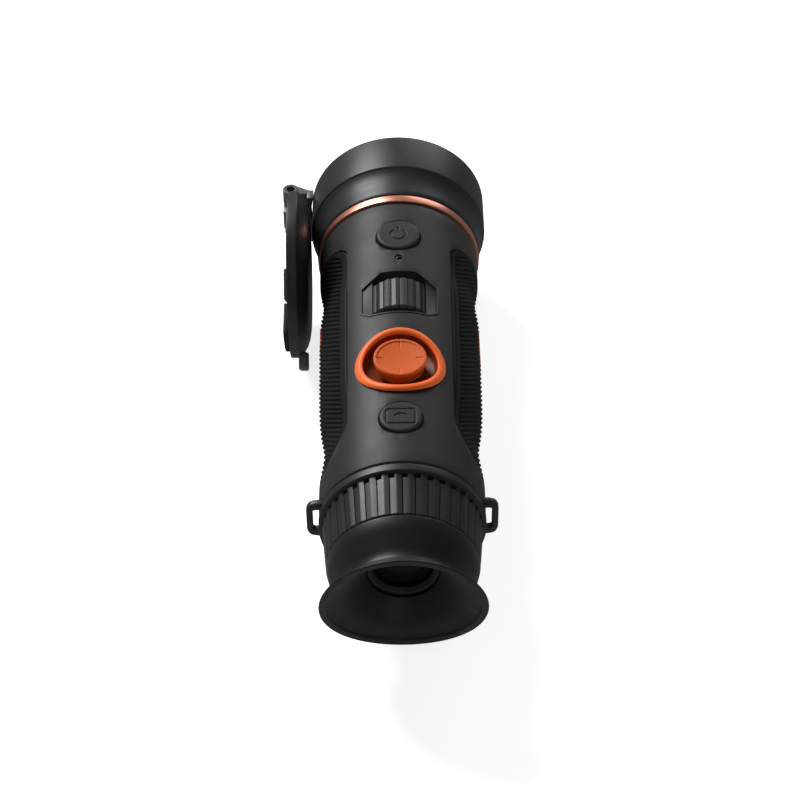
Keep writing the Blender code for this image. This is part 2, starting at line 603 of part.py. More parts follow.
def make_cap():
    """Hinged lens cap, its inner liner and pads, the bracket on the bell and the pin."""
    centre = (CAP_X, CAP_Y, AXIS_Z)
    cap = turned("lens_cap", [(-2.0, 28.9), (-2.0, 30.3), (-1.7, CAP_RADIUS), (1.6, CAP_RADIUS),
                              (1.9, 30.3), (4.6, 27.2), (5.3, 24.0), (5.5, 0), (3.6, 0),
                              (3.4, 25.0), (1.0, 28.9)],
                 SOFT_BLACK, centre, "X", LARGE)
    arm = [(-3.0, 0), (-3.0, -4.8), (0.0, -5.6), (0.0, -11.0), (4.2, -11.0), (4.2, -4.0), (3.0, 0)]
    hinge = (HINGE_X, HINGE_Y, AXIS_Z)
    boolean(cap, extruded("join_cap_arm", arm, -7.2, 0.8, None, hinge), "UNION")
    boolean(cap, rod("join_cap_knuckle", 3.0, -7.4, 1.0, None, hinge), "UNION")
    boolean(cap, rod("cut_cap_knuckle", 1.5, -20, 20, None, hinge))
    tab = block("join_cap_tab", (CAP_X + 0.9, -4.6, 28.8), (CAP_X + 4.4, 4.6, 35.4), None, 0.6)
    lean = Matrix.Rotation(math.radians(90 + CAP_TAB_ANGLE), 4, "X")
    tab.data.transform(Matrix.Translation([0, 0, 32.1 * MM]))
    tab.data.transform(lean)
    tab.location = [(CAP_X + 2.65) * MM, CAP_Y * MM, AXIS_Z * MM]
    boolean(cap, tab, "UNION")
    liner = rod("cap_liner", 28.5, -1.8, -0.5, GRIP_RUBBER, centre, "X", MEDIUM)
    place = math.radians(180 + CAP_TAB_ANGLE)
    arc = [place + math.radians(-40 + 80 * k / 10) for k in range(11)]
    crescent = [(28.3 * math.cos(a), 28.3 * math.sin(a)) for a in arc]
    crescent += [(14.0 * math.cos(a), 14.0 * math.sin(a)) for a in reversed(arc)]
    pad_points = [[(level, y, z) for y, z in crescent] for level in (-4.0, -2.1)]
    pad = lofted("cap_crescent_pad", pad_points, GRIP_RUBBER, centre)
    corners = [(-2.0, -7.0), (9.7, -7.0), (9.7, 7.0), (-2.0, 7.0)]
    turned_corners = [(r * math.cos(place) - t * math.sin(place),
                       r * math.sin(place) + t * math.cos(place)) for r, t in corners]
    magnet_points = [[(level, y, z) for y, z in turned_corners] for level in (-4.1, -2.1)]
    magnet = lofted("cap_magnet_block", magnet_points, ANODISED, centre)
    hang_on("cap_hinge_axis", hinge, cap, liner, pad, magnet)
    make_bracket(hinge)


def make_bracket(hinge):
    """Two ears on a curved foot against the bell, and the pin through them."""
    bracket = block("cap_bracket", (-34.3, BELL_FRONT - 5.2, AXIS_Z - 13.4),
                    (-27.0, BELL_FRONT - 0.2, AXIS_Z + 8.0), ANODISED)
    for label, low, high in (("upper", 1.5, 8.0), ("lower", -13.4, -7.9)):
        bar = [(0, -3.0), (6.9, -3.0), (6.9, -0.7), (0, 3.0)]
        boolean(bracket, extruded(f"join_{label}_bar", bar, low + 0.1, high - 0.2, None, hinge),
                "UNION")
        boolean(bracket, rod(f"join_{label}_eye", 3.0, low, high, None, hinge), "UNION")
    boolean(bracket, rod("cut_bracket_bell", BELL_RADIUS + GAP, 70, 100, None,
                         (0, 0, AXIS_Z), "Y", LARGE))
    boolean(bracket, rod("cut_bracket_pin", 1.5, -20, 20, None, hinge))
    rod("cap_hinge_pin", 1.3, -14.0, 8.3, STEEL, hinge)


# ---------------------------------------------------------------- underside

def make_underside():
    """Tripod foot with its threaded bush and screws, and the covered charging socket."""
    base = block("tripod_base", (-BASE_HALF_WIDTH, BASE_REAR, 0), (BASE_HALF_WIDTH, BASE_FRONT, 9),
                 ANODISED, 1.0)
    cone = [(-40.0, 0), (-40.0, body_radius(-40) + GAP), (40.0, body_radius(40) + GAP), (40.0, 0)]
    boolean(base, turned("cut_base_saddle", cone, None, steps=LARGE))
    boolean(base, rod("cut_base_bush", 5.1, -1, 12, None, (0, 0, 0)))
    turned("tripod_bush", [(0.0, 3.2), (0.0, 4.8), (7.6, 4.8), (7.6, 0), (6.4, 0), (6.4, 3.2)],
           BRASS, (0, 0, 0), "Z", SMALL)
    for label, y in (("rear", BASE_REAR + 5.0), ("front", BASE_FRONT - 7.0)):
        boolean(base, rod(f"cut_{label}_head", 2.7, -1, 1.9, None, (0, y, 0)))
        boolean(base, rod(f"cut_{label}_shank", 1.45, -1, 12, None, (0, y, 0)))
        turned(f"base_screw_{label}", [(0.3, 0), (0.3, 2.2), (0.5, 2.4), (1.6, 2.4), (1.6, 1.15),
                                       (7.6, 1.15), (7.6, 0)], STEEL, (0, y, 0), "Z", SMALL)
    socket = extruded("usb_socket", rounded_rectangle(4.5, 1.65, 1.5), 6.6, 13.4, STEEL,
                      (0, USB_Y, 0))
    boolean(socket, extruded("cut_usb_socket", rounded_rectangle(4.15, 1.3, 1.2), 5, 12.4, None,
                             (0, USB_Y, 0)))
    block("usb_board", (-8, USB_Y - 6, 13.8), (8, USB_Y + 6, 15.0), BOARD)
    hinge = (0, USB_Y + 7.2, 5.0)
    flap = block("usb_cover", (-8.1, USB_Y - 5.7, 0), (8.1, USB_Y + 7.0, 5.7), GRIP_RUBBER)
    boolean(flap, rod("join_flap_barrel", 0.75, -8.1, 8.1, None, hinge, "X"), "UNION")
    boolean(flap, rod("keep_flap", 27.3, -80, -40, None, (0, 0, AXIS_Z), "Y", LARGE), "INTERSECT")
    hang_on("usb_cover_axis", hinge, flap)


make_housing()
make_grips()
make_objective()
make_focus_drive()
make_wheel_bezel()
make_electronics()
make_buttons()
make_joystick_bezel()
make_joystick()
make_eyepiece()
make_lugs()
make_cap()
make_underside()
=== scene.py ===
"""Looks of the hand-held thermal monocular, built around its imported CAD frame."""
import json
import math

import bmesh
import bpy
import numpy as np
from mathutils import Matrix, Vector

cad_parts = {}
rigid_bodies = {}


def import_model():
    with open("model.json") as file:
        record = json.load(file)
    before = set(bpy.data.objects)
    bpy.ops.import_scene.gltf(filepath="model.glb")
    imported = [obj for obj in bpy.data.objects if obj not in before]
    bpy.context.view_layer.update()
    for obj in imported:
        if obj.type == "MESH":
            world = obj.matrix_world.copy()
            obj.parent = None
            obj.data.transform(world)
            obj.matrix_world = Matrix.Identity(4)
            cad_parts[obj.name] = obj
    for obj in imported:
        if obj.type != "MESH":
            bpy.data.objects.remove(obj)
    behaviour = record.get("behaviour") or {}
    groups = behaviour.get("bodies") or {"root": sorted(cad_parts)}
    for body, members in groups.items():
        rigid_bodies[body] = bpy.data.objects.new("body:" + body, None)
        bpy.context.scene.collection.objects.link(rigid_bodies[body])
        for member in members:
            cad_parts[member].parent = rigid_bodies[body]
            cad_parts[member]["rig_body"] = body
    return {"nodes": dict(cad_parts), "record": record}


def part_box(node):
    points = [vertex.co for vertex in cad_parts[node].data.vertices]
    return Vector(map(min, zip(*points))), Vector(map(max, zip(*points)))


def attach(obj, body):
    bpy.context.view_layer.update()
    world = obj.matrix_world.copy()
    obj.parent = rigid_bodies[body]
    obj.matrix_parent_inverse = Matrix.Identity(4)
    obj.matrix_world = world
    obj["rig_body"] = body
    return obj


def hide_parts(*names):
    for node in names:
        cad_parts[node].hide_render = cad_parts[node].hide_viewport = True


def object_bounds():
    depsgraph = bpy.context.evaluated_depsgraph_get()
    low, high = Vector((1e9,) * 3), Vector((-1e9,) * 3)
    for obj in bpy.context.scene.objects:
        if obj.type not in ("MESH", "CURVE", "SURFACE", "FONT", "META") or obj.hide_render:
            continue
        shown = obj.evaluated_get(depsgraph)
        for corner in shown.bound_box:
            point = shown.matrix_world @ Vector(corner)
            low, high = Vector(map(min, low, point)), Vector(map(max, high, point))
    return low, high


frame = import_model()
CAD_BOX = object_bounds()
MM = 0.001


def mm_box(node):
    """Lowest and highest corner of a CAD node, in millimetres."""
    low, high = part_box(node)
    return Vector(low) / MM, Vector(high) / MM


def middle(node):
    """Centre of a CAD node's box, in millimetres."""
    low, high = mm_box(node)
    return (low + high) / 2


BELL_LOW, BELL_HIGH = mm_box("objective_bell")
HOUSING_LOW, HOUSING_HIGH = mm_box("main_housing")
AXIS_Z = (BELL_LOW.z + BELL_HIGH.z) / 2
SPIGOT = 8.7                                  # housing hidden inside the bell and copper ring
HOUSING_FRONT = HOUSING_HIGH.y - SPIGOT
HOUSING_REAR = HOUSING_LOW.y
FRONT_RADIUS = HOUSING_HIGH.x
TAPER = 1.6                                   # the body is this much thinner at its rear


def body_radius(y):
    """Outer radius of the tapered housing at a station."""
    return FRONT_RADIUS - TAPER * (HOUSING_FRONT - y) / (HOUSING_FRONT - HOUSING_REAR)


def polar(radius, degrees_from_top, y):
    """A point at an angle from straight up about the optical axis."""
    angle = math.radians(degrees_from_top)
    return (radius * math.sin(angle), y, AXIS_Z + radius * math.cos(angle))


def smooth(low, high, value):
    """Smooth step from 0 at low to 1 at high."""
    share = min(1.0, max(0.0, (value - low) / (high - low)))
    return share * share * (3 - 2 * share)


# ---------------------------------------------------------------- materials

def node(tree, kind, **settings):
    """Add a shader node; settings are its properties."""
    made = tree.nodes.new(kind)
    for key, value in settings.items():
        setattr(made, key, value)
    return made


def noise(tree, coords, scale, detail=3.0, stretch=(1, 1, 1)):
    """A noise texture in object space, stretched per axis; returns its value output."""
    mapping = node(tree, "ShaderNodeMapping")
    mapping.inputs["Scale"].default_value = stretch
    tree.links.new(coords, mapping.inputs["Vector"])
    texture = node(tree, "ShaderNodeTexNoise")
    texture.inputs["Scale"].default_value = scale
    texture.inputs["Detail"].default_value = detail
    tree.links.new(mapping.outputs["Vector"], texture.inputs["Vector"])
    return texture.outputs["Fac"]


def spread(tree, value, low, high, start=0.3, end=0.7):
    """Map a 0..1 value onto low..high."""
    mapped = node(tree, "ShaderNodeMapRange")
    mapped.inputs["From Min"].default_value = start
    mapped.inputs["From Max"].default_value = end
    mapped.inputs["To Min"].default_value = low
    mapped.inputs["To Max"].default_value = high
    tree.links.new(value, mapped.inputs["Value"])
    return mapped.outputs["Result"]


def surface(name, colour, rough, metallic=0.0, grain=3500, bump=0.25, streak=None, vary=0.12,
            edge_highlight=0.3, specular=0.5, coat=0.0, sheen=0.0, transmission=0.0, depth=0.00004):
    """A procedural finish: grain in the bump, patchy colour and roughness, and a painted highlight
    that lightens convex edges.
    """
    material = bpy.data.materials.new(name)
    material.use_nodes = True
    tree = material.node_tree
    shader = tree.nodes["Principled BSDF"]
    shader.inputs["Metallic"].default_value = metallic
    shader.inputs["Specular IOR Level"].default_value = specular
    shader.inputs["Coat Weight"].default_value = coat
    shader.inputs["Coat Roughness"].default_value = 0.12
    shader.inputs["Sheen Weight"].default_value = sheen
    shader.inputs["Transmission Weight"].default_value = transmission
    coords = node(tree, "ShaderNodeTexCoord").outputs["Object"]
    patches = noise(tree, coords, 90, 4)
    fine = noise(tree, coords, grain, 2, streak or (1, 1, 1))
    mix = node(tree, "ShaderNodeMix", data_type="RGBA")
    mix.inputs["A"].default_value = (*[c * (1 - vary) for c in colour], 1)
    mix.inputs["B"].default_value = (*[min(1, c * (1 + vary)) for c in colour], 1)
    blend = node(tree, "ShaderNodeMath", operation="MULTIPLY_ADD")
    blend.inputs[1].default_value = 0.5
    tree.links.new(patches, blend.inputs[0])
    half = node(tree, "ShaderNodeMath", operation="MULTIPLY")
    half.inputs[1].default_value = 0.5
    tree.links.new(fine, half.inputs[0])
    tree.links.new(half.outputs[0], blend.inputs[2])
    tree.links.new(spread(tree, blend.outputs[0], 0, 1), mix.inputs["Factor"])
    # Painted highlight: convex edges, found by pointiness, are mixed towards a brighter copy of the
    # colour.
    pointiness = node(tree, "ShaderNodeNewGeometry").outputs["Pointiness"]
    edge = spread(tree, pointiness, 0, edge_highlight, 0.52, 0.62)
    edge_lit = node(tree, "ShaderNodeMix", data_type="RGBA")
    edge_lit.inputs["B"].default_value = (*[min(1, c * 1.9 + 0.03) for c in colour], 1)
    tree.links.new(edge, edge_lit.inputs["Factor"])
    tree.links.new(mix.outputs["Result"], edge_lit.inputs["A"])
    tree.links.new(edge_lit.outputs["Result"], shader.inputs["Base Color"])
    tree.links.new(spread(tree, blend.outputs[0], rough * 0.86, min(1, rough * 1.16)),
                   shader.inputs["Roughness"])
    relief = node(tree, "ShaderNodeBump")
    relief.inputs["Strength"].default_value = bump
    relief.inputs["Distance"].default_value = depth
    tree.links.new(fine, relief.inputs["Height"])
    tree.links.new(relief.outputs["Normal"], shader.inputs["Normal"])
    return material


AROUND = (0.05, 1.0, 0.05)                    # streaks run round the optical axis
# The record's material slots, and three finishes that some pieces take in place of their slot's:
# light_anodised, and two darker copies of the orange plastic with painted shade, one for the
# joystick's well and one for its dished top.
MATERIALS = {
    "soft_black": surface("soft_touch_black", (0.027, 0.027, 0.0275), 0.47, grain=2600, bump=0.35,
                          specular=0.22),
    "grip_rubber": surface("ribbed_grip_rubber", (0.009, 0.009, 0.0093), 0.58, grain=2200, bump=0.5,
                           specular=0.12),
    "eyecup_rubber": surface("eyecup_rubber", (0.011, 0.011, 0.011), 0.42, grain=2000, bump=0.35,
                             specular=0.3, sheen=0.05),
    "dark_anodised": surface("dark_anodised_satin", (0.03, 0.032, 0.035), 0.4, 0.3, grain=2500,
                             bump=0.12, streak=AROUND, specular=0.3),
    "light_anodised": surface("light_anodised_satin", (0.085, 0.088, 0.092), 0.42, 0.3, grain=2500,
                              bump=0.15, specular=0.4),
    "copper_trim": surface("copper_anodised", (0.83, 0.34, 0.235), 0.3, 0.9, grain=2500,
                           bump=0.15, streak=AROUND, vary=0.06),
    "orange_plastic": surface("orange_satin_plastic", (0.95, 0.15, 0.024), 0.42, grain=2600,
                              bump=0.25, vary=0.06, edge_highlight=0.15, specular=0.25),
    # Painted shade: a darker copy of the orange plastic for the joystick's well, which lies in
    # shadow.
    "orange_well_painted_shade": surface("painted_shade_orange_well", (0.2, 0.026, 0.004), 0.55, grain=2600,
                            bump=0.25, vary=0.06, edge_highlight=0.1, specular=0.3),
    # Painted shade: a darker copy of the orange plastic for the joystick's top, which gets less
    # light than the rim.
    "orange_top_painted_shade": surface("painted_shade_orange_top", (0.7, 0.12, 0.019), 0.45, grain=2600,
                          bump=0.25, vary=0.06, edge_highlight=0.25, specular=0.2),
    "germanium": surface("germanium_coated", (0.16, 0.12, 0.13), 0.12, 0.75, grain=900, bump=0.02,
                         coat=0.5),
    "eyepiece_glass": surface("eyepiece_glass_coated", (0.004, 0.006, 0.007), 0.1, grain=900,
                              bump=0.01, specular=0.12, coat=0.03, edge_highlight=0.0),
    "steel": surface("machined_steel", (0.5, 0.5, 0.51), 0.3, 1.0, grain=3000, bump=0.12,
                     streak=AROUND),
    "brass": surface("machined_brass", (0.68, 0.48, 0.2), 0.3, 1.0, grain=3000, bump=0.12),
    "circuit_board": surface("solder_mask", (0.02, 0.13, 0.06), 0.4, grain=1200, bump=0.2,
                             coat=0.3),
    "module": surface("moulded_module", (0.035, 0.035, 0.036), 0.5, grain=2500, bump=0.3),
    "battery_wrap": surface("battery_wrap", (0.03, 0.1, 0.3), 0.3, grain=1500, bump=0.08,
                            coat=0.4),
}


# ---------------------------------------------------------------- mesh helpers

def settle(name, mesh, slot, body, replaced, sharp=35.0, finish=None):
    """Turn a mesh into a shown piece that rides on a body and stands for CAD nodes."""
    mesh.shade_smooth()
    mesh.set_sharp_from_angle(angle=math.radians(sharp))
    piece = bpy.data.objects.new(name, mesh)
    bpy.context.collection.objects.link(piece)
    mesh.materials.clear()
    mesh.materials.append(MATERIALS[finish or slot])
    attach(piece, body)
    if replaced:
        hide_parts(*replaced)
    return piece


def net(name, points, around, loop, capped=False, clean=True):
    """Mesh of a grid of points: rows may close around, columns may loop, ends may be capped."""
    rows, columns = points.shape[:2]
    faces = []
    for row in range(rows if around else rows - 1):
        after_row = (row + 1) % rows
        for column in range(columns if loop else columns - 1):
            after = (column + 1) % columns
            faces.append((row * columns + column, row * columns + after,
                          after_row * columns + after, after_row * columns + column))
    if capped:
        faces.append(tuple(range(columns)))
        faces.append(tuple((rows - 1) * columns + k for k in range(columns)))
    mesh = bpy.data.meshes.new(name)
    mesh.from_pydata((points.reshape(-1, 3) * MM).tolist(), [], faces)
    if clean:
        bm = bmesh.new()
        bm.from_mesh(mesh)
        bmesh.ops.remove_doubles(bm, verts=bm.verts, dist=2e-7)
        bmesh.ops.recalc_face_normals(bm, faces=bm.faces)
        bm.to_mesh(mesh)
        bm.free()
    return mesh


def fillet(points, radius, closed=True, steps=4):
    """Round the corners of an outline; radius may be one number or one per point."""
    count = len(points)
    radii = radius if isinstance(radius, (list, tuple)) else [radius] * count
    rounded = []
    for index, (point, size) in enumerate(zip(points, radii)):
        here = Vector(point)
        if not closed and index in (0, count - 1) or size <= 0:
            rounded.append(tuple(here))
            continue
        before = Vector(points[index - 1]) - here
        after = Vector(points[(index + 1) % count]) - here
        reach = min(size, before.length * 0.45, after.length * 0.45)
        start = here + before.normalized() * reach
        end = here + after.normalized() * reach
        for step in range(steps + 1):
            share = step / steps
            rounded.append(tuple(start * (1 - share) ** 2 + here * 2 * share * (1 - share)
                                 + end * share ** 2))
    return rounded


def denser(points, step):
    """Add points along an outline so that none are further apart than step."""
    result = []
    for start, end in zip(points, points[1:]):
        parts = max(1, math.ceil(math.dist(start, end) / step))
        for k in range(parts):
            result.append(tuple(a + (b - a) * k / parts for a, b in zip(start, end)))
    result.append(points[-1])
    return result


def place_profile(profile, angles, centre, axis, shape):
    """Spin (along, radius) points about an axis; shape may move each one."""
    points = np.zeros((len(angles), len(profile), 3))
    for i, angle in enumerate(angles):
        for j, (along, radius) in enumerate(profile):
            if shape:
                along, radius = shape(angle, along, radius)
            side = radius * math.sin(angle)
            up = radius * math.cos(angle)
            if axis == "Y":
                points[i, j] = (side, along, up)
            elif axis == "X":
                points[i, j] = (along, side, up)
            else:
                points[i, j] = (side, up, along)
    return points + np.array(centre)


def lathe(name, profile, slot, body, replaced=(), centre=None, axis="Y", steps=160, shape=None,
          sharp=35.0, finish=None):
    """A turned piece from (along, radius) points, closed by itself or on its axis."""
    centre = (0, 0, AXIS_Z) if centre is None else centre
    angles = [math.tau * k / steps for k in range(steps)]
    points = place_profile(profile, angles, centre, axis, shape)
    loop = not (profile[0][1] == 0 and profile[-1][1] == 0)
    return settle(name, net(name, points, True, loop), slot, body, replaced, sharp, finish)


def solid(rings):
    """A capped loft through rings of points, as a mesh."""
    return net("solid", np.array(rings, float), False, True, capped=True)


def slab(outline, low, high, frame_of):
    """An outline of (a, b) points between two levels; frame_of turns (a, b, level) to x, y, z."""
    return solid([[frame_of(a, b, level) for a, b in outline] for level in (low, high)])


def along_z(a, b, level):
    return (a, b, level)


def along_y(a, b, level):
    return (a, level, b)


def drum(radius, low, high, centre, axis="Z", steps=96):
    """A plain cylinder mesh to cut with."""
    angles = [math.tau * k / steps for k in range(steps)]
    return net("drum", place_profile([(low, 0), (low, radius), (high, radius), (high, 0)], angles,
                                     centre, axis, None), True, False)


def carve(mesh, cutters, bevel=0.25, keep=None, angle=38):
    """Cut a mesh with others, keep what lies in another, and bevel its sharp edges."""
    base = bpy.data.objects.new("carved", mesh)
    bpy.context.collection.objects.link(base)
    tools = []
    jobs = [(cutter, "DIFFERENCE") for cutter in cutters]
    if keep is not None:
        jobs.append((keep, "INTERSECT"))
    for cutter, operation in jobs:
        tool = bpy.data.objects.new("tool", cutter)
        bpy.context.collection.objects.link(tool)
        tools.append(tool)
        change = base.modifiers.new("cut", "BOOLEAN")
        change.operation = operation
        change.solver = "EXACT"
        change.object = tool
    if bevel:
        edge = base.modifiers.new("edge", "BEVEL")
        edge.width = bevel * MM
        edge.segments = 2
        edge.limit_method = "ANGLE"
        edge.angle_limit = math.radians(angle)
        edge.harden_normals = False
    bpy.context.view_layer.update()
    evaluated = base.evaluated_get(bpy.context.evaluated_depsgraph_get())
    result = bpy.data.meshes.new_from_object(evaluated)
    bpy.data.objects.remove(base)
    for tool in tools:
        bpy.data.objects.remove(tool)
    return result


def body_of(name):
    """The body that a CAD node rides on."""
    return frame["nodes"][name]["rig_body"]


# ---------------------------------------------------------------- side grips

ACCENT = {side: mm_box(f"{side}_accent_bar") for side in ("left", "right")}
PAD_LOW, PAD_HIGH = mm_box("right_grip_pad")
PAD_TOP = 40.0                                # upper edge, degrees from the top
PAD_INSIDE = 25.2
RIB_PITCH = 2.2
RIB_DEPTH = 0.5
RIB_SLANT = 1.03                              # the ribs run forward as they go down the side


def pad_edge(y):
    """Angle of a grip's upper edge, swept away at both ends."""
    front = min(1.0, max(0.0, (y - (PAD_HIGH.y - 8.0)) / 8.0))
    rear = min(1.0, max(0.0, (PAD_LOW.y + 15.0 - y) / 15.0))
    return PAD_TOP + 35.0 * (1 - math.sqrt(1 - front ** 2)) + 46.0 * (1 - math.sqrt(1 - rear ** 2))


def pad_skin(y):
    """Outer radius of a grip, with two shallow waists."""
    front = 1.45 * math.exp(-((y - PAD_HIGH.y + 14.0) / 9.0) ** 2)
    rear = 1.75 * math.exp(-((y - PAD_LOW.y - 17.0) / 11.0) ** 2)
    return body_radius(y) + 0.15 - front - rear


def pad_ring(y, side, columns, window):
    """One closed ring of a grip at a station, with its ribs and the accent's window."""
    top = pad_edge(y)
    ring = []
    ends = min(y - PAD_LOW.y, PAD_HIGH.y - y)
    skin = pad_skin(y)
    for k in range(columns):
        share = 0.5 - 0.5 * math.cos(math.pi * k / (columns - 1))
        angle = top + (180 - 2 * top) * share
        from_edge = math.radians(min(angle - top, 180 - top - angle)) * skin
        nearest = min(from_edge, ends + 0.02)
        roll = max(0.0, 1 - nearest / 0.9)
        radius = skin - 0.8 * (1 - math.sqrt(max(0.0, 1 - roll ** 2)))
        along = y + RIB_SLANT * skin * math.cos(math.radians(angle))
        groove = smooth(0.38, 0.66, 0.5 + 0.5 * math.cos(math.tau * along / RIB_PITCH))
        radius -= RIB_DEPTH * groove * smooth(3.2, 4.0, from_edge) * smooth(2.5, 3.5, ends)
        arc = abs(math.radians(angle - 90)) * skin
        low, high = window
        inside = (smooth(-1.0, -0.55, 3.6 - arc + 0.3) * smooth(-0.9, -0.45, y - low)
                  * smooth(-0.9, -0.45, high - y))
        radius = radius * (1 - inside) + (PAD_INSIDE + 0.6) * inside
        ring.append(polar(radius, side * angle, y))
    for k in range(10, -1, -1):
        angle = top + (180 - 2 * top) * k / 10
        ring.append(polar(PAD_INSIDE, side * angle, y))
    return ring


def pad_stations():
    """Stations along a grip: fine enough for its ribs, closer at both ends."""
    front = PAD_HIGH.y - 3.0
    rear = PAD_LOW.y + 3.0
    back = [PAD_LOW.y + 3.0 * (1 - math.cos(math.radians(90 * k / 14))) for k in range(14)]
    count = int((front - rear) / (RIB_PITCH / 8))
    straight = [rear + (front - rear) * k / count for k in range(count + 1)]
    ahead = [front + 3.0 * math.sin(math.radians(90 * k / 14)) for k in range(1, 15)]
    return back + straight + ahead


def make_grips():
    """Both ribbed grips with their orange accent bars."""
    for label, side in (("right", 1), ("left", -1)):
        low, high = ACCENT[label]
        rings = [pad_ring(y, side, 150, (low.y, high.y)) for y in pad_stations()]
        settle(f"{label}_grip", solid(rings), "grip_rubber", "housing", [f"{label}_grip_pad"], 50)
        outline = fillet([(low.y, -3.6), (high.y, -3.6), (high.y, 3.6), (low.y, 3.6)], 1.1, steps=5)
        reach = body_radius(low.y) + 0.1
        rows = []
        for level, inset in ((PAD_INSIDE + 0.9, 0.0), (reach - 0.45, 0.0), (reach - 0.12, 0.12),
                             (reach, 0.4)):
            middle_y = (low.y + high.y) / 2
            rows.append([polar(level, side * (90 + math.degrees(b * (1 - inset / 3.6) / 28.0)),
                               middle_y + (a - middle_y) * (1 - inset / 8)) for a, b in outline])
        settle(f"{label}_accent", solid(rows), "orange_plastic", "housing",
               [f"{label}_accent_bar"], 30)


# ---------------------------------------------------------------- housing

POWER = middle("power_button")
PHOTO = middle("photo_button")
STICK = middle("joystick_bezel")
WHEEL_LOW, WHEEL_HIGH = mm_box("focus_wheel")
WHEEL = (WHEEL_LOW + WHEEL_HIGH) / 2
LIGHT = middle("status_light")
POCKET_LOW, POCKET_HIGH = mm_box("wheel_bezel")


def radius_of(name):
    """Half the width of a round CAD node."""
    low, high = mm_box(name)
    return (high.x - low.x) / 2


def pocket_outline(margin):
    """Six-sided outline of the focus wheel's pocket, pulled in by a margin."""
    half = POCKET_HIGH.x - margin
    front = POCKET_HIGH.y - margin
    rear = POCKET_LOW.y + margin
    nose = half - 6.9
    return [(nose, front), (-nose, front), (-half, front - 6.1), (-half, rear + 2.5),
            (-half + 3.3, rear), (half - 3.3, rear), (half, rear + 2.5), (half, front - 6.1)]


def pad_recess(side):
    """The hollow in the housing that a grip lies in."""
    rings = []
    for y in pad_stations()[::4] + [PAD_HIGH.y]:
        top = pad_edge(y) - 0.55
        place = y + (0.3 if y > PAD_HIGH.y - 4 else 0) - (0.3 if y < PAD_LOW.y + 4 else 0)
        angles = [top + (180 - 2 * top) * k / 24 for k in range(25)]
        ring = [polar(34.0, side * angle, place) for angle in angles]
        ring += [polar(PAD_INSIDE - 0.5, side * angle, place) for angle in reversed(angles)]
        rings.append(ring)
    return solid(rings)


def make_housing():
    """The body tube with its pockets and holes, edges softly broken."""
    rear = HOUSING_REAR
    front = HOUSING_FRONT
    wall = 22.4
    profile = [(rear, wall), (rear, body_radius(rear) - 0.5), (rear + 0.5, body_radius(rear))]
    profile += [(rear + (front - rear) * k / 30, body_radius(rear + (front - rear) * k / 30))
                for k in range(1, 30)]
    profile += [(front - 0.6, body_radius(front)), (front, FRONT_RADIUS - 0.6), (front, 26.0),
                (HOUSING_HIGH.y, 26.0), (HOUSING_HIGH.y, 23.5), (front - 6.3, 23.5),
                (front - 6.3, wall)]
    angles = [math.tau * k / 192 for k in range(192)]
    tube = net("tube", place_profile(profile, angles, (0, 0, AXIS_Z), "Y", None), True, True)
    cutters = [pad_recess(1), pad_recess(-1)]
    top = AXIS_Z + 10
    cutters.append(slab(pocket_outline(0.5), top, top + 30, along_z))
    for spot, radius in ((POWER, radius_of("power_button") + 0.4),
                         (PHOTO, radius_of("photo_button") + 0.4), (LIGHT, 1.35),
                         (STICK, radius_of("joystick_bezel") - 0.4)):
        cutters.append(drum(radius, top, top + 30, (spot.x, spot.y, 0)))
    for side in ("left", "right"):
        low, high = mm_box(f"{side}_strap_lug")
        outline = [(low.x - 0.3, low.z - 0.3), (high.x + 0.3, low.z - 0.3),
                   (high.x + 0.3, high.z + 0.3), (low.x - 0.3, high.z + 0.3)]
        cutters.append(slab(outline, low.y - 0.25, high.y + 0.25, along_y))
    cover_low, cover_high = mm_box("usb_cover")
    outline = [(cover_low.x - 0.35, cover_low.y - 0.3), (cover_high.x + 0.35, cover_low.y - 0.3),
               (cover_high.x + 0.35, cover_high.y + 1.2), (cover_low.x - 0.35, cover_high.y + 1.2)]
    cutters.append(slab(outline, -1, 6.2, along_z))
    port = middle("usb_socket")
    cutters.append(slab([(-4.9, port.y - 2.1), (4.9, port.y - 2.1), (4.9, port.y + 2.1),
                         (-4.9, port.y + 2.1)], 5, 12, along_z))
    cutters.append(drum(5.1, -1, 7.9, (0, 0, 0)))
    mesh = carve(tube, cutters, bevel=0.22)
    settle("body_shell", mesh, "soft_black", "housing", ["main_housing"], 30)


# ---------------------------------------------------------------- objective end

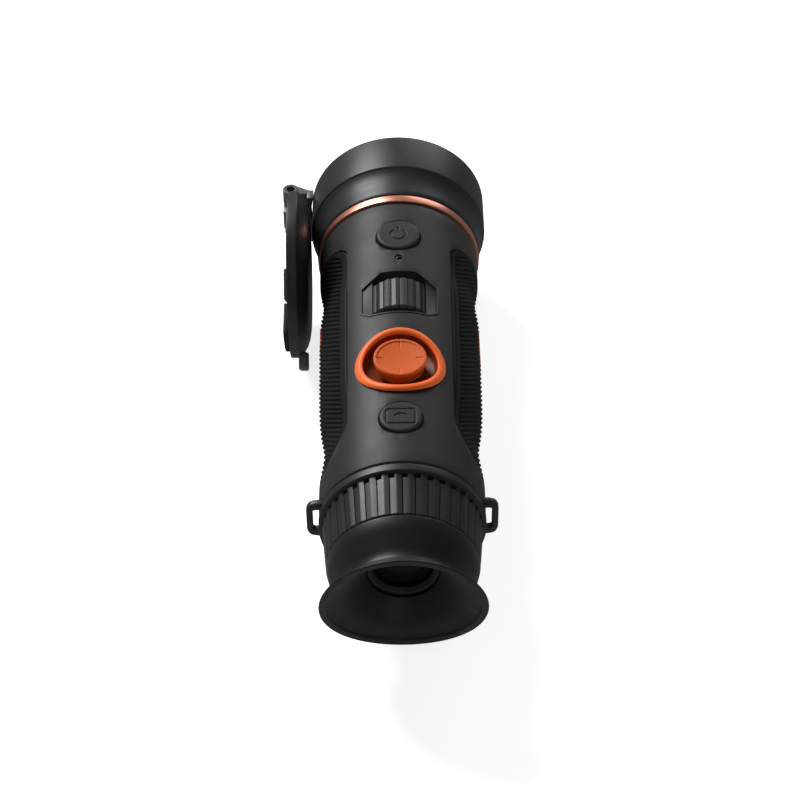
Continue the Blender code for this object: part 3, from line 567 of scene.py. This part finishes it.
def make_objective():
    """Flared bell, copper ring, and the lens with its cell and retainer."""
    rear = BELL_LOW.y
    front = BELL_HIGH.y
    rim = BELL_HIGH.x
    mouth = rim - 3.1
    neck = [(0, -2.6), (0.25, -2.42), (2.2, -2.38), (4.7, -2.32), (6.8, -2.12), (8.6, -1.86),
            (10.3, -1.46), (11.6, -1.0), (12.45, -0.55)]
    outline = [(rear + y, rim + r) for y, r in neck]
    outline += fillet([(rear + 12.6, rim - 0.48), (rear + 13.0, rim), (front, rim),
                       (front, mouth + 0.4), (front - 0.5, mouth)], [0.05, 0.28, 0.7, 0.3, 0.2],
                      closed=False)
    inside = [(front - 0.5, mouth)]
    inside += [(front - 0.5 - (front - 0.5 - rear - 9.7) * k / 6, mouth - 3.0 * k / 6)
               for k in range(1, 7)]
    steps = []
    for y, r in denser(inside, 0.9):
        steps += [(y, r), (y - 0.25, r - 0.02), (y - 0.3, r + 0.22), (y - 0.62, r + 0.22)]
    outline += steps + [(rear + 9.0, 26.4), (rear, 26.4)]
    lathe("bell", outline, "dark_anodised", "housing", ["objective_bell"], steps=224, sharp=40)
    low, high = mm_box("copper_ring")
    ring = fillet([(low.y, 26.4), (low.y, high.x), (high.y, high.x), (high.y, 26.4)],
                  [0.1, 0.3, 0.3, 0.1])
    lathe("copper_trim_ring", ring, "copper_trim", "housing", ["copper_ring"], steps=224, sharp=50)
    low, high = mm_box("objective_cell")
    ring = fillet([(low.y, 19.5), (low.y, 23.2), (high.y - 3.2, 23.2), (high.y - 3.2, 25.8),
                   (high.y, 25.8), (high.y, 21.6), (low.y + 4, 21.6), (low.y + 4, 19.5)], 0.25)
    lathe("lens_barrel", ring, "dark_anodised", "housing", ["objective_cell"], steps=128)
    low, high = mm_box("front_lens")
    back = [(low.y + 1.2 * (1 - (k / 16) ** 2), high.x * k / 16) for k in range(17)]
    face = [(high.y - 2.4 * (k / 24) ** 2, high.x * k / 24) for k in range(24, -1, -1)]
    lathe("germanium_lens", back + face, "germanium", "housing", ["front_lens"], steps=128)
    low, high = mm_box("lens_retainer")
    ring = fillet([(low.y, 19.9), (low.y, high.x), (high.y, high.x), (high.y, high.x - 0.7),
                   (low.y + 1.7, 19.9)], 0.15)
    lathe("retaining_ring", ring, "dark_anodised", "housing", ["lens_retainer"], steps=128,
          shape=lambda a, y, r: (y - 0.5 * (r < 20.9 and y > low.y + 1.0
                                            and abs(math.sin(a)) < 0.05), r))


# ---------------------------------------------------------------- focus wheel and its pocket

SLOT = 8.9                                    # half the width of the slot the wheel stands in
SIDE_FLOOR = 27.7                             # radius of the facets beside the slot


def ridge(share, cut, drop):
    """Depth below the crest of one ridge: a narrow cut, a long flank and a shorter one."""
    if share < 0.09:
        return drop + (cut - drop) * smooth(0.0, 0.035, min(share, 0.09 - share))
    if share < 0.6:
        return drop * (0.6 - share) / 0.51
    return drop * (share - 0.6) / 0.4


def make_wheel():
    """Fluted wheel on its shaft, and the framed pocket round it."""
    radius = (WHEEL_HIGH.x - WHEEL_LOW.x) / 2
    half = (WHEEL_HIGH.y - WHEEL_LOW.y) / 2
    teeth = 26
    profile = [(-half, 1.6), (-half, radius - 1.9), (-half + 0.25, radius - 1.7)]
    profile += [(-half + 0.3, radius - 0.75), (-half + 0.75, radius - 0.3), (-half + 1.3, radius),
                (-half + 1.9, radius)]
    profile = denser(profile, 1.2)
    profile += [(-half + 1.9 + (2 * half - 3.8) * k / 10, radius) for k in range(1, 11)]
    profile += [(half - 1.3, radius), (half - 0.6, radius - 0.35), (half - 0.15, radius - 1.1),
                (half, radius - 1.7), (half, 1.6)]

    def flute(angle, along, reach):
        if reach > radius - 1.5:
            depth = ridge((angle / math.tau * teeth) % 1, 0.8, 0.26)
            if along < -half + 1.3:
                depth *= 1.35
            reach -= depth
        return along, reach

    body = body_of("focus_wheel")
    lathe("fluted_wheel", profile, "dark_anodised", body, ["focus_wheel"],
          centre=(0, WHEEL.y, WHEEL.z), steps=teeth * 22, shape=flute, sharp=14)
    mesh = slab(pocket_outline(0.0), AXIS_Z + 19.8, AXIS_Z + 32, along_z)
    keep = drum(28.5, POCKET_LOW.y - 3, POCKET_HIGH.y + 3, (0, 0, AXIS_Z), "Y", 192)
    inner = drum(SIDE_FLOOR, POCKET_LOW.y - 3, POCKET_HIGH.y + 3, (0, 0, AXIS_Z), "Y", 192)
    side_floor = carve(slab(pocket_outline(0.55), AXIS_Z + 19, AXIS_Z + 40, along_z), [inner], 0)
    rear = POCKET_LOW.y + 0.75
    front = POCKET_HIGH.y - 0.9
    well = [(6.5, front), (-6.5, front), (-SLOT, front - 2.1), (-SLOT, rear), (SLOT, rear),
            (SLOT, front - 2.1)]
    floor = slab(well, AXIS_Z + 24.4, AXIS_Z + 40, along_z)
    slot = slab([(-SLOT, WHEEL_LOW.y - 0.9), (SLOT, WHEEL_LOW.y - 0.9),
                 (SLOT, WHEEL_HIGH.y + 0.9), (-SLOT, WHEEL_HIGH.y + 0.9)],
                AXIS_Z + 10, AXIS_Z + 40, along_z)
    under = drum(radius + 0.5, WHEEL_LOW.y - 0.8, WHEEL_HIGH.y + 0.8, (0, 0, WHEEL.z), "Y")
    mesh = carve(mesh, [side_floor, floor, slot, under], 0.2, keep)
    settle("wheel_pocket", mesh, "soft_black", "housing", ["wheel_bezel"], 30)


# ---------------------------------------------------------------- buttons

def stroke(distance, half_width):
    """Depth share of an engraved line at a distance from its middle."""
    return 1 - smooth(half_width - 0.1, half_width + 0.16, distance)


def power_mark(x, y):
    """Open ring with a bar through its gap."""
    reach = math.hypot(x, y)
    angle = abs(math.degrees(math.atan2(x, y)))
    ring = stroke(abs(reach - 2.7), 0.28) * smooth(33, 40, angle)
    bar = stroke(math.hypot(x, y - min(3.5, max(0.4, y))), 0.28)
    return max(ring, bar)


def photo_mark(x, y):
    """Rounded frame with a small arc in its upper half."""
    across = max(0.0, abs(x) - 3.7)
    up = max(0.0, abs(y) - 2.2)
    inner = min(max(abs(x) - 3.7, abs(y) - 2.2), 0.0)
    frame_line = stroke(abs(math.hypot(across, up) + inner - 1.1), 0.26)
    arc = stroke(abs(math.hypot(x, y + 1.2) - 2.4), 0.24) * smooth(0.0, 0.35, y)
    return max(frame_line, arc)


def make_button(node_name, piece_name, mark):
    """A round push button with its symbol engraved."""
    low, high = mm_box(node_name)
    spot = middle(node_name)
    radius = (high.x - low.x) / 2
    top = high.z
    outline = [(low.z, 0), (low.z, radius)]
    outline += fillet([(low.z, radius), (top - 0.75, radius), (top - 0.28, radius - 0.28),
                       (top - 0.05, radius - 1.0)], 0.3, closed=False)[1:]
    flat = [(top - 0.05 + 0.05 * (k / 40), (radius - 1.0) * (1 - k / 40)) for k in range(1, 41)]

    def engrave(angle, along, reach):
        if along > top - 0.2 and reach < radius - 0.9:
            along -= 0.32 * mark(reach * math.sin(angle), reach * math.cos(angle))
        return along, reach

    lathe(piece_name, outline + flat, "soft_black", body_of(node_name), [node_name],
          centre=(spot.x, spot.y, 0), axis="Z", steps=240, shape=engrave, sharp=42)


def make_light():
    """The small domed status light."""
    low, high = mm_box("status_light")
    dome = [(high.z - 0.35 * (k / 6) ** 2, 1.0 * k / 6) for k in range(6, -1, -1)]
    lathe("status_lens", [(low.z, 0), (low.z, 1.0)] + dome, "eyepiece_glass", "housing",
          ["status_light"], centre=(LIGHT.x, LIGHT.y, 0), axis="Z", steps=32)


# ---------------------------------------------------------------- joystick

def make_joystick():
    """Orange rim wrapped on the body, the well inside and the dished cap with four marks; well and
    cap are given darker copies of the orange with painted shade.
    """
    outer = radius_of("joystick_bezel")
    rest = body_radius(STICK.y)
    rim = [(outer - 0.9, 0.2), (outer, 0.3), (outer, 0.62), (outer - 0.28, 1.08),
           (outer - 0.85, 1.33), (outer - 1.5, 1.36), (outer - 2.1, 1.2), (outer - 2.55, 0.85),
           (outer - 2.75, 0.35), (outer - 2.8, -0.4), (outer - 1.3, -0.8)]
    well = [(outer - 2.83, 0.25), (outer - 3.1, -0.9), (outer - 1.2, -0.9), (outer - 1.2, 0.1)]
    # The well is given the darker orange with painted shade.
    for label, edge, levels, finish, replaced in (
            ("rim", rim, (), "orange_plastic", ["joystick_bezel"]),
            ("well", well[:2], ((11.9, 23.1), (11.2, 22.6), (3.5, 22.6), (3.5, 21.5), (14.2, 21.5)),
             "orange_well_painted_shade", [])):
        rings = []
        for step in range(176):
            angle = math.tau * step / 176
            ring = []
            for reach, height in edge + (well[2:3] if levels else []):
                x = reach * math.cos(angle)
                level = AXIS_Z + math.sqrt(rest * rest - x * x) + height
                ring.append((x, STICK.y + reach * math.sin(angle), level))
            if levels:
                ring = ring[:2] + [(reach * math.cos(angle), STICK.y + reach * math.sin(angle),
                                    AXIS_Z + level) for reach, level in levels] + ring[2:]
            rings.append(ring)
        mesh = net(label, np.array(rings), True, True)
        settle(f"joystick_{label}", mesh, "orange_plastic", "housing", replaced, 45, finish)
    low, high = mm_box("joystick_cap")
    radius = (high.x - low.x) / 2
    top = high.z
    profile = [(top - 2.7, 0), (top - 2.7, 6.6), (low.z, 7.1), (low.z, radius - 0.8)]
    profile += fillet([(low.z, radius - 0.75), (top - 1.55, radius - 0.6),
                       (top - 1.35, radius), (top, radius - 0.15), (top - 0.02, radius - 1.15),
                       (top - 0.35, radius - 1.4)], [0.1, 0.15, 0.3, 0.55, 0.25, 0.15],
                      closed=False)
    profile += [(top - 0.35 - 0.5 * (1 - (1 - k / 26) ** 2), (radius - 1.4) * (1 - k / 26))
                for k in range(1, 27)]

    def ticks(angle, along, reach):
        if along > top - 1.2:
            across = min(abs(reach * math.sin(angle)), abs(reach * math.cos(angle)))
            length = smooth(5.1, 5.5, reach) * (1 - smooth(8.2, 8.5, reach))
            along -= 0.22 * stroke(across, 0.2) * length
        return along, reach

    # The cap's top is given a darker orange with painted shade.
    lathe("joystick_top", profile, "orange_plastic", body_of("joystick_cap"), ["joystick_cap"],
          centre=(STICK.x, STICK.y, 0), axis="Z", steps=360, shape=ticks, sharp=42,
          finish="orange_top_painted_shade")


# ---------------------------------------------------------------- eyepiece end

HOLE = 11.9                                   # radius of the opening in the eyecup's floor


def make_eyepiece():
    """Knurled dioptre ring, tube, lens cell, retainer and lens."""
    low, high = mm_box("diopter_ring")
    lip = high.x
    bore = 19.7
    teeth = 39
    front = high.y
    profile = [(front, bore)]
    profile += fillet([(front, bore), (front, lip), (front - 3.0, lip), (front - 3.4, lip - 1.0)],
                      [0, 0.5, 0.4, 0], closed=False)[1:]
    profile += [(front - 3.55, lip - 1.1), (front - 4.9, lip - 1.2), (front - 5.05, lip - 1.22),
                (front - 6.5, lip - 1.35)]
    start = front - 6.5
    end = low.y + 0.55
    profile += [(start + (end - start) * k / 16, lip - 1.35 - 1.1 * k / 16) for k in range(1, 17)]
    profile += [(low.y + 0.25, lip - 2.6), (low.y, lip - 3.0), (low.y, bore)]

    def knurl(angle, along, reach):
        share = (angle / math.tau * teeth) % 1
        if reach > bore + 2:
            depth = 0.0
            if along < front - 3.5:
                depth = ridge(share, 0.9, 0.24)
            if front - 5.0 < along < front - 3.5 and (share < 0.42 or share > 0.97):
                depth = 1.6
            reach -= depth
        return along, reach

    lathe("dioptre_ring", profile, "dark_anodised", body_of("diopter_ring"), ["diopter_ring"],
          steps=teeth * 22, shape=knurl, sharp=14)
    low, high = mm_box("eyepiece_tube")
    flange = high.y
    ring = fillet([(flange - 3.7, 19.4), (flange - 3.7, 22.0), (flange, 22.0), (flange, 17.0),
                   (low.y, 17.0), (low.y, 19.4)], 0.2)
    lathe("ocular_tube", ring, "dark_anodised", "housing", ["eyepiece_tube"], steps=128)
    low, high = mm_box("eyepiece_cell")
    outer = high.x
    ring = fillet([(low.y, 12.6), (low.y, outer), (high.y, outer), (high.y, 9.8),
                   (high.y - 3.4, 9.8), (high.y - 3.4, 11.0), (low.y + 1.2, 11.0),
                   (low.y + 1.2, 12.6)], 0.22)
    group = body_of("eyepiece_cell")
    lathe("ocular_cell", ring, "dark_anodised", group, ["eyepiece_cell"], steps=128)
    low, high = mm_box("eyepiece_retainer")
    high.x = HOLE - 0.3
    ring = fillet([(high.y, 9.9), (high.y, high.x), (low.y, high.x), (low.y, high.x - 0.7),
                   (low.y + 0.6, high.x - 1.1), (high.y - 0.1, 9.9)], 0.14)
    lathe("ocular_retainer", ring, "dark_anodised", group, ["eyepiece_retainer"], steps=128,
          shape=lambda a, y, r: (y + 0.35 * (y < low.y + 0.3 and abs(math.cos(a)) < 0.07), r))
    low, high = mm_box("eye_lens")
    face = [(low.y + 1.4 * (k / 20) ** 2, high.x * k / 20) for k in range(21)]
    lathe("ocular_lens", face + [(high.y - 0.2, high.x - 0.1), (high.y - 0.1, 0)],
          "eyepiece_glass", group, ["eye_lens"], steps=96)


def make_eyecup():
    """The waisted soft cup with its slanted double lip."""
    low, high = mm_box("eyecup")
    front = high.y
    rings = []
    steps = 192
    radii = [0.15, 0.6, 2.2, 3.2, 2.4, 1.8, 0.3, 0.25, 0.1, 0.12, 2.0, 0.35, 0.3, 0.5]
    for step in range(steps):
        angle = math.tau * step / steps
        slant = -5.7 * math.cos(angle) + 1.0 * math.cos(2 * angle)
        rim = front - 16.7 + slant
        neck = front - 10.7 + 0.45 * slant
        inner = neck - 0.9
        share = (front - 2.2 - inner) / (front - 2.2 - rim - 1.0)
        waist = min(18.7, HOLE + (24.35 - HOLE) * share)
        section = [(front, 19.7), (front, 25.0), (front - 3.6, 24.2), (neck + 1.9, 20.4),
                   (neck - 0.8, 20.0), (rim + 2.8, 24.7), (rim + 0.5, 27.02), (rim, 26.75),
                   (rim + 0.3, 24.75), (rim + 1.0, 24.35), (inner, waist), (front - 2.2, HOLE),
                   (front - 1.75, HOLE + 0.6), (front - 1.65, 19.6)]
        rounded = fillet(section, radii, steps=5)
        rings.append([polar(radius, math.degrees(angle), along) for along, radius in rounded])
    mesh = net("cup", np.array(rings), True, True)
    settle("soft_eyecup", mesh, "eyecup_rubber", body_of("eyecup"), ["eyecup"], 60)


# ---------------------------------------------------------------- strap lugs

def make_lugs():
    """A strap loop on each side."""
    for label, side in (("right", 1), ("left", -1)):
        low, high = mm_box(f"{label}_strap_lug")
        spot = (low + high) / 2
        reach = max(abs(low.x), abs(high.x))
        half = (high.z - low.z) / 2
        foot = min(abs(low.x), abs(high.x))
        outline = [(foot, half), (foot, -half), (reach - 3.3, -half), (reach - 1.1, -half + 0.6),
                   (reach, -half + 2.7), (reach, half - 2.7), (reach - 1.1, half - 0.6),
                   (reach - 3.3, half)]
        outer = [(side * x, spot.z + z) for x, z in fillet(outline, [0, 0, 1.2, 1.2, 1.2, 1.2, 1.2,
                                                                     1.2])]
        loop = slab(outer, low.y, high.y, along_y)
        hole = fillet([(reach - 5.35, -4.6), (reach - 2.15, -4.6), (reach - 2.15, 4.6),
                       (reach - 5.35, 4.6)], 1.0, steps=6)
        cutter = slab([(side * x, spot.z + z) for x, z in hole], low.y - 3, high.y + 3, along_y)
        settle(f"{label}_strap_loop", carve(loop, [cutter], 0.4), "dark_anodised", "housing",
               [f"{label}_strap_lug"], 30)


# ---------------------------------------------------------------- lens cap and hinge

CAP_PLACE = math.radians(180 + 45)            # towards the finger tab, in the cap's plane
PIN_BORE = 1.5                                # radius of the hinge's holes
KNUCKLE = 3.0                                 # radius of the hinge's eyes and knuckle


def spun(points):
    """Turn (outward, across) points towards the finger tab."""
    return [(r * math.cos(CAP_PLACE) - t * math.sin(CAP_PLACE),
             r * math.sin(CAP_PLACE) + t * math.cos(CAP_PLACE)) for r, t in points]


def make_cap():
    """Lens cap folded back beside the body, its pads, tab, arm and knuckle."""
    liner_low, liner_high = mm_box("cap_liner")
    centre = (liner_low + liner_high) / 2
    x0 = liner_low.x + 1.8
    radius = 30.6
    body = body_of("lens_cap")
    outer = fillet([(5.5, 0), (5.5, 12.0), (5.4, 21.6), (5.0, 24.2), (4.2, 26.6), (3.0, 28.6),
                    (1.9, 30.2), (1.6, radius), (-2.0, radius), (-2.0, 28.9), (1.0, 28.8),
                    (3.4, 25.0), (3.6, 0)],
                   [0, 0.3, 0.3, 0.3, 0.3, 0.3, 0.2, 0.3, 0.4, 0.3, 0.5, 0.5, 0], closed=False)
    lathe("cap_shell", outer, "dark_anodised", body, ["lens_cap"], centre=(x0, centre.y, AXIS_Z),
          axis="X", steps=224, sharp=24)
    face = fillet([(-0.5, 0), (-0.5, 28.5), (-1.6, 28.5), (-1.8, 28.2), (-1.8, 26.6),
                   (-1.45, 26.2), (-1.45, 0)], [0, 0.2, 0.15, 0.15, 0.15, 0.15, 0], closed=False)
    lathe("cap_lining", face, "grip_rubber", body, ["cap_liner"],
          centre=(x0, centre.y, AXIS_Z), axis="X", steps=160)

    def in_plane(a, b, level):
        return (x0 + level, centre.y + a, AXIS_Z + b)

    arc = [CAP_PLACE + math.radians(-40 + 80 * k / 40) for k in range(41)]
    crescent = [(28.3 * math.cos(a), 28.3 * math.sin(a)) for a in arc]
    crescent += [(14.0 * math.cos(a), 14.0 * math.sin(a)) for a in reversed(arc)]
    settle("cap_crescent", carve(slab(crescent, -4.0, -2.0, in_plane), [], 0.5, angle=50),
           "grip_rubber", body, ["cap_crescent_pad"], 30)
    block = spun(fillet([(-2.0, -7.0), (9.7, -7.0), (9.7, 7.0), (-2.0, 7.0)], 1.2))
    settle("cap_magnet", carve(slab(block, -4.1, -2.0, in_plane), [], 0.35, angle=50),
           "dark_anodised", body, ["cap_magnet_block"], 30, "light_anodised")
    tab = spun(fillet([(28.6, -4.6), (35.35, -4.6), (35.35, 4.6), (28.6, 4.6)],
                      [0, 2.2, 2.2, 0]))
    settle("cap_tab", carve(slab(tab, 0.9, 4.4, in_plane), [], 0.7, angle=50),
           "dark_anodised", body, [], 30, "light_anodised")
    pin = middle("cap_hinge_pin")
    arm = [(-3.0, 0), (-3.0, -4.8), (0.0, -5.6), (0.0, -11.0), (4.2, -11.0), (4.2, -4.0), (3.0, 0)]
    mesh = slab([(pin.x + a, pin.y + b) for a, b in arm], AXIS_Z - 7.2, AXIS_Z + 0.8, along_z)
    bore = drum(PIN_BORE, AXIS_Z - 20, AXIS_Z + 20, (pin.x, pin.y, 0))
    settle("cap_arm", carve(mesh, [bore], 0.4), "dark_anodised", body, [], 30,
           "light_anodised")
    ring = fillet([(AXIS_Z - 7.4, PIN_BORE), (AXIS_Z - 7.4, KNUCKLE), (AXIS_Z + 1.0, KNUCKLE),
                   (AXIS_Z + 1.0, PIN_BORE)], [0.1, 0.35, 0.35, 0.1])
    lathe("cap_knuckle", ring, "dark_anodised", body, [], centre=(pin.x, pin.y, 0), axis="Z",
          steps=64, finish="light_anodised")


def make_bracket():
    """Two hinge ears on a foot against the bell, and the pin."""
    low, high = mm_box("cap_bracket")
    pin = middle("cap_hinge_pin")
    bell = drum(BELL_HIGH.x + 0.3, low.y - 10, high.y + 10, (0, 0, AXIS_Z), "Y", 192)
    bore = drum(PIN_BORE, low.z - 20, high.z + 20, (pin.x, pin.y, 0))
    foot_front = BELL_HIGH.y - 0.2
    foot = [(-34.3, foot_front - 5.0), (-27.0, foot_front - 5.0), (-27.0, foot_front),
            (-34.3, foot_front)]
    mesh = slab(foot, low.z, high.z, along_z)
    settle("hinge_foot", carve(mesh, [bell], 0.35), "dark_anodised", "housing", ["cap_bracket"],
           30, "light_anodised")
    for label, bottom, top in (("upper", AXIS_Z + 1.5, high.z), ("lower", low.z, AXIS_Z - 7.9)):
        bar = [(pin.x, pin.y - 3.0), (pin.x + 6.9, pin.y - 3.0), (pin.x + 6.9, pin.y - 0.7),
               (pin.x, pin.y + 3.0)]
        mesh = slab(bar, bottom + 0.1, top - 0.1, along_z)
        settle(f"hinge_{label}_bar", carve(mesh, [bore, bell], 0.35), "dark_anodised", "housing",
               [], 30, "light_anodised")
        ring = fillet([(bottom, PIN_BORE), (bottom, KNUCKLE), (top, KNUCKLE), (top, PIN_BORE)],
                      [0.1, 0.4, 0.4, 0.25])
        lathe(f"hinge_{label}_eye", ring, "dark_anodised", "housing", [],
              centre=(pin.x, pin.y, 0), axis="Z", steps=64, finish="light_anodised")
    low, high = mm_box("cap_hinge_pin")
    reach = 1.3
    outline = [(low.z, 0)] + fillet([(low.z, reach), (high.z - 2.6, reach)], 0, closed=False)
    outline += [(high.z - 2.8, reach - 0.2), (high.z - 2.8, 0.75), (high.z - 3.5, 0.65),
                (high.z - 3.6, 0)]
    lathe("hinge_pin", outline, "steel", "housing", ["cap_hinge_pin"],
          centre=(pin.x, pin.y, 0), axis="Z", steps=48)


# ---------------------------------------------------------------- underside

def make_underside():
    """Tripod foot, threaded bush and screws."""
    low, high = mm_box("tripod_base")
    outline = fillet([(low.x, low.y), (high.x, low.y), (high.x, high.y), (low.x, high.y)], 3.0)
    mesh = slab(outline, low.z, high.z + 2, along_z)
    span = [(low.y - 10, 0), (low.y - 10, body_radius(low.y - 10) + 0.25),
            (high.y + 10, body_radius(high.y + 10) + 0.25), (high.y + 10, 0)]
    angles = [math.tau * k / 160 for k in range(160)]
    saddle = net("saddle", place_profile(span, angles, (0, 0, AXIS_Z), "Y", None), True, False)
    cutters = [saddle, drum(5.0, -2, 14, (0, 0, 0))]
    for label in ("front", "rear"):
        spot = middle(f"base_screw_{label}")
        cutters.append(drum(2.7, -2, 1.9, (spot.x, spot.y, 0)))
    settle("tripod_foot", carve(mesh, cutters, 0.4), "dark_anodised", "housing", ["tripod_base"],
           30)
    low, high = mm_box("tripod_bush")
    turns = []
    for k in range(12):
        z = low.z + 0.2 + k * 0.5
        turns += [(z, 3.2), (z + 0.25, 3.02)]
    outline = fillet([(low.z, 3.25), (low.z, 4.8), (high.z, 4.8), (high.z, 0)], [0.2, 0.3, 0, 0],
                     closed=False)
    outline += [(low.z + 6.4, 0), (low.z + 6.4, 3.1)] + turns[::-1]
    lathe("threaded_bush", outline, "brass", "housing", ["tripod_bush"], centre=(0, 0, 0),
          axis="Z", steps=72)
    for label in ("front", "rear"):
        low, high = mm_box(f"base_screw_{label}")
        spot = (low + high) / 2
        outline = [(low.z + 0.9, 0), (low.z + 0.9, 0.9), (low.z + 0.1, 1.1), (low.z, 1.7),
                   (low.z + 0.12, 2.15), (low.z + 0.4, 2.4), (low.z + 1.3, 2.4),
                   (low.z + 1.3, 1.15), (high.z, 1.15), (high.z, 0)]
        lathe(f"foot_screw_{label}", outline, "steel", "housing", [f"base_screw_{label}"],
              centre=(spot.x, spot.y, 0), axis="Z", steps=48)


# ---------------------------------------------------------------- scene

WORLD_LIGHT = 0.13
FLOOR_GLOW = 0.78                             # the pale floor also emits light
FLOOR_SIZE = 4.0                              # half its side, metres
LIGHTS = (                                    # name, place, width (metres), power (watts)
    ("key", (-0.85, 1.12, 1.2), 0.9, 36.0),
    ("front", (0.5, 1.5, 0.5), 0.9, 5.0),
    ("fill", (0.5, -1.2, 1.3), 1.4, 2.0),
)
CAMERA_PLACE = Vector((-0.0003, -0.5671, 0.5617))
CAMERA_AIM = Vector((-0.00023, -0.020, 0.0315))
CAMERA_ROLL = math.radians(-0.83)
CAMERA_LENS = 99                              # millimetres, on a sensor 36 mm wide


def make_stage():
    """Pale floor under the object, soft studio lights and the camera."""
    low = CAD_BOX[0][2] - 0.0004
    size = FLOOR_SIZE
    mesh = bpy.data.meshes.new("floor")
    mesh.from_pydata([(-size, -size, low), (size, -size, low), (size, size, low),
                      (-size, size, low)], [], [(0, 1, 2, 3)])
    floor = bpy.data.objects.new("floor", mesh)
    bpy.context.collection.objects.link(floor)
    mesh.materials.append(surface("pale_floor", (0.9, 0.9, 0.9), 0.9, grain=300, bump=0.02,
                                  vary=0.01, edge_highlight=0.0, specular=0.1))
    glow = floor.data.materials[0].node_tree.nodes["Principled BSDF"]
    glow.inputs["Emission Color"].default_value = (1, 1, 1, 1)
    glow.inputs["Emission Strength"].default_value = FLOOR_GLOW
    floor.visible_glossy = False              # its glow isn't mirrored in the object
    world = bpy.data.worlds.new("studio")
    bpy.context.scene.world = world
    world.use_nodes = True
    world.node_tree.nodes["Background"].inputs["Color"].default_value = (1, 1, 1, 1)
    world.node_tree.nodes["Background"].inputs["Strength"].default_value = WORLD_LIGHT
    target = Vector((0, -0.01, 0.03))
    for name, place, width, power in LIGHTS:
        data = bpy.data.lights.new(name, "AREA")
        data.shape = "DISK"
        data.size = width
        data.energy = power
        lamp = bpy.data.objects.new(name, data)
        lamp.location = place
        lamp.rotation_euler = (target - Vector(place)).to_track_quat("-Z", "Y").to_euler()
        bpy.context.collection.objects.link(lamp)
    camera_data = bpy.data.cameras.new("camera")
    camera = bpy.data.objects.new("camera", camera_data)
    bpy.context.collection.objects.link(camera)
    forward = (CAMERA_AIM - CAMERA_PLACE).normalized()
    right = forward.cross(Vector((0, 0, 1))).normalized()
    up = right.cross(forward)
    tilted = right * math.cos(CAMERA_ROLL) + up * math.sin(CAMERA_ROLL)
    upright = tilted.cross(forward)
    turn = Matrix((tilted, upright, -forward)).transposed().to_4x4()
    camera.matrix_world = Matrix.Translation(CAMERA_PLACE) @ turn
    camera_data.lens = CAMERA_LENS
    camera_data.sensor_width = 36
    bpy.context.scene.camera = camera
    bpy.context.scene.view_settings.view_transform = "Standard"


make_grips()
make_housing()
make_objective()
make_wheel()
make_button("power_button", "power_key", power_mark)
make_button("photo_button", "photo_key", photo_mark)
make_light()
make_joystick()
make_eyepiece()
make_eyecup()
make_lugs()
make_cap()
make_bracket()
make_underside()

for entry in frame["record"]["subparts"]:
    kept = frame["nodes"][entry["node"]]
    if not kept.hide_render:
        if not kept.data.materials:
            kept.data.materials.append(None)
        for holder in kept.material_slots:
            holder.material = MATERIALS[entry["material_slot"]]

make_stage()
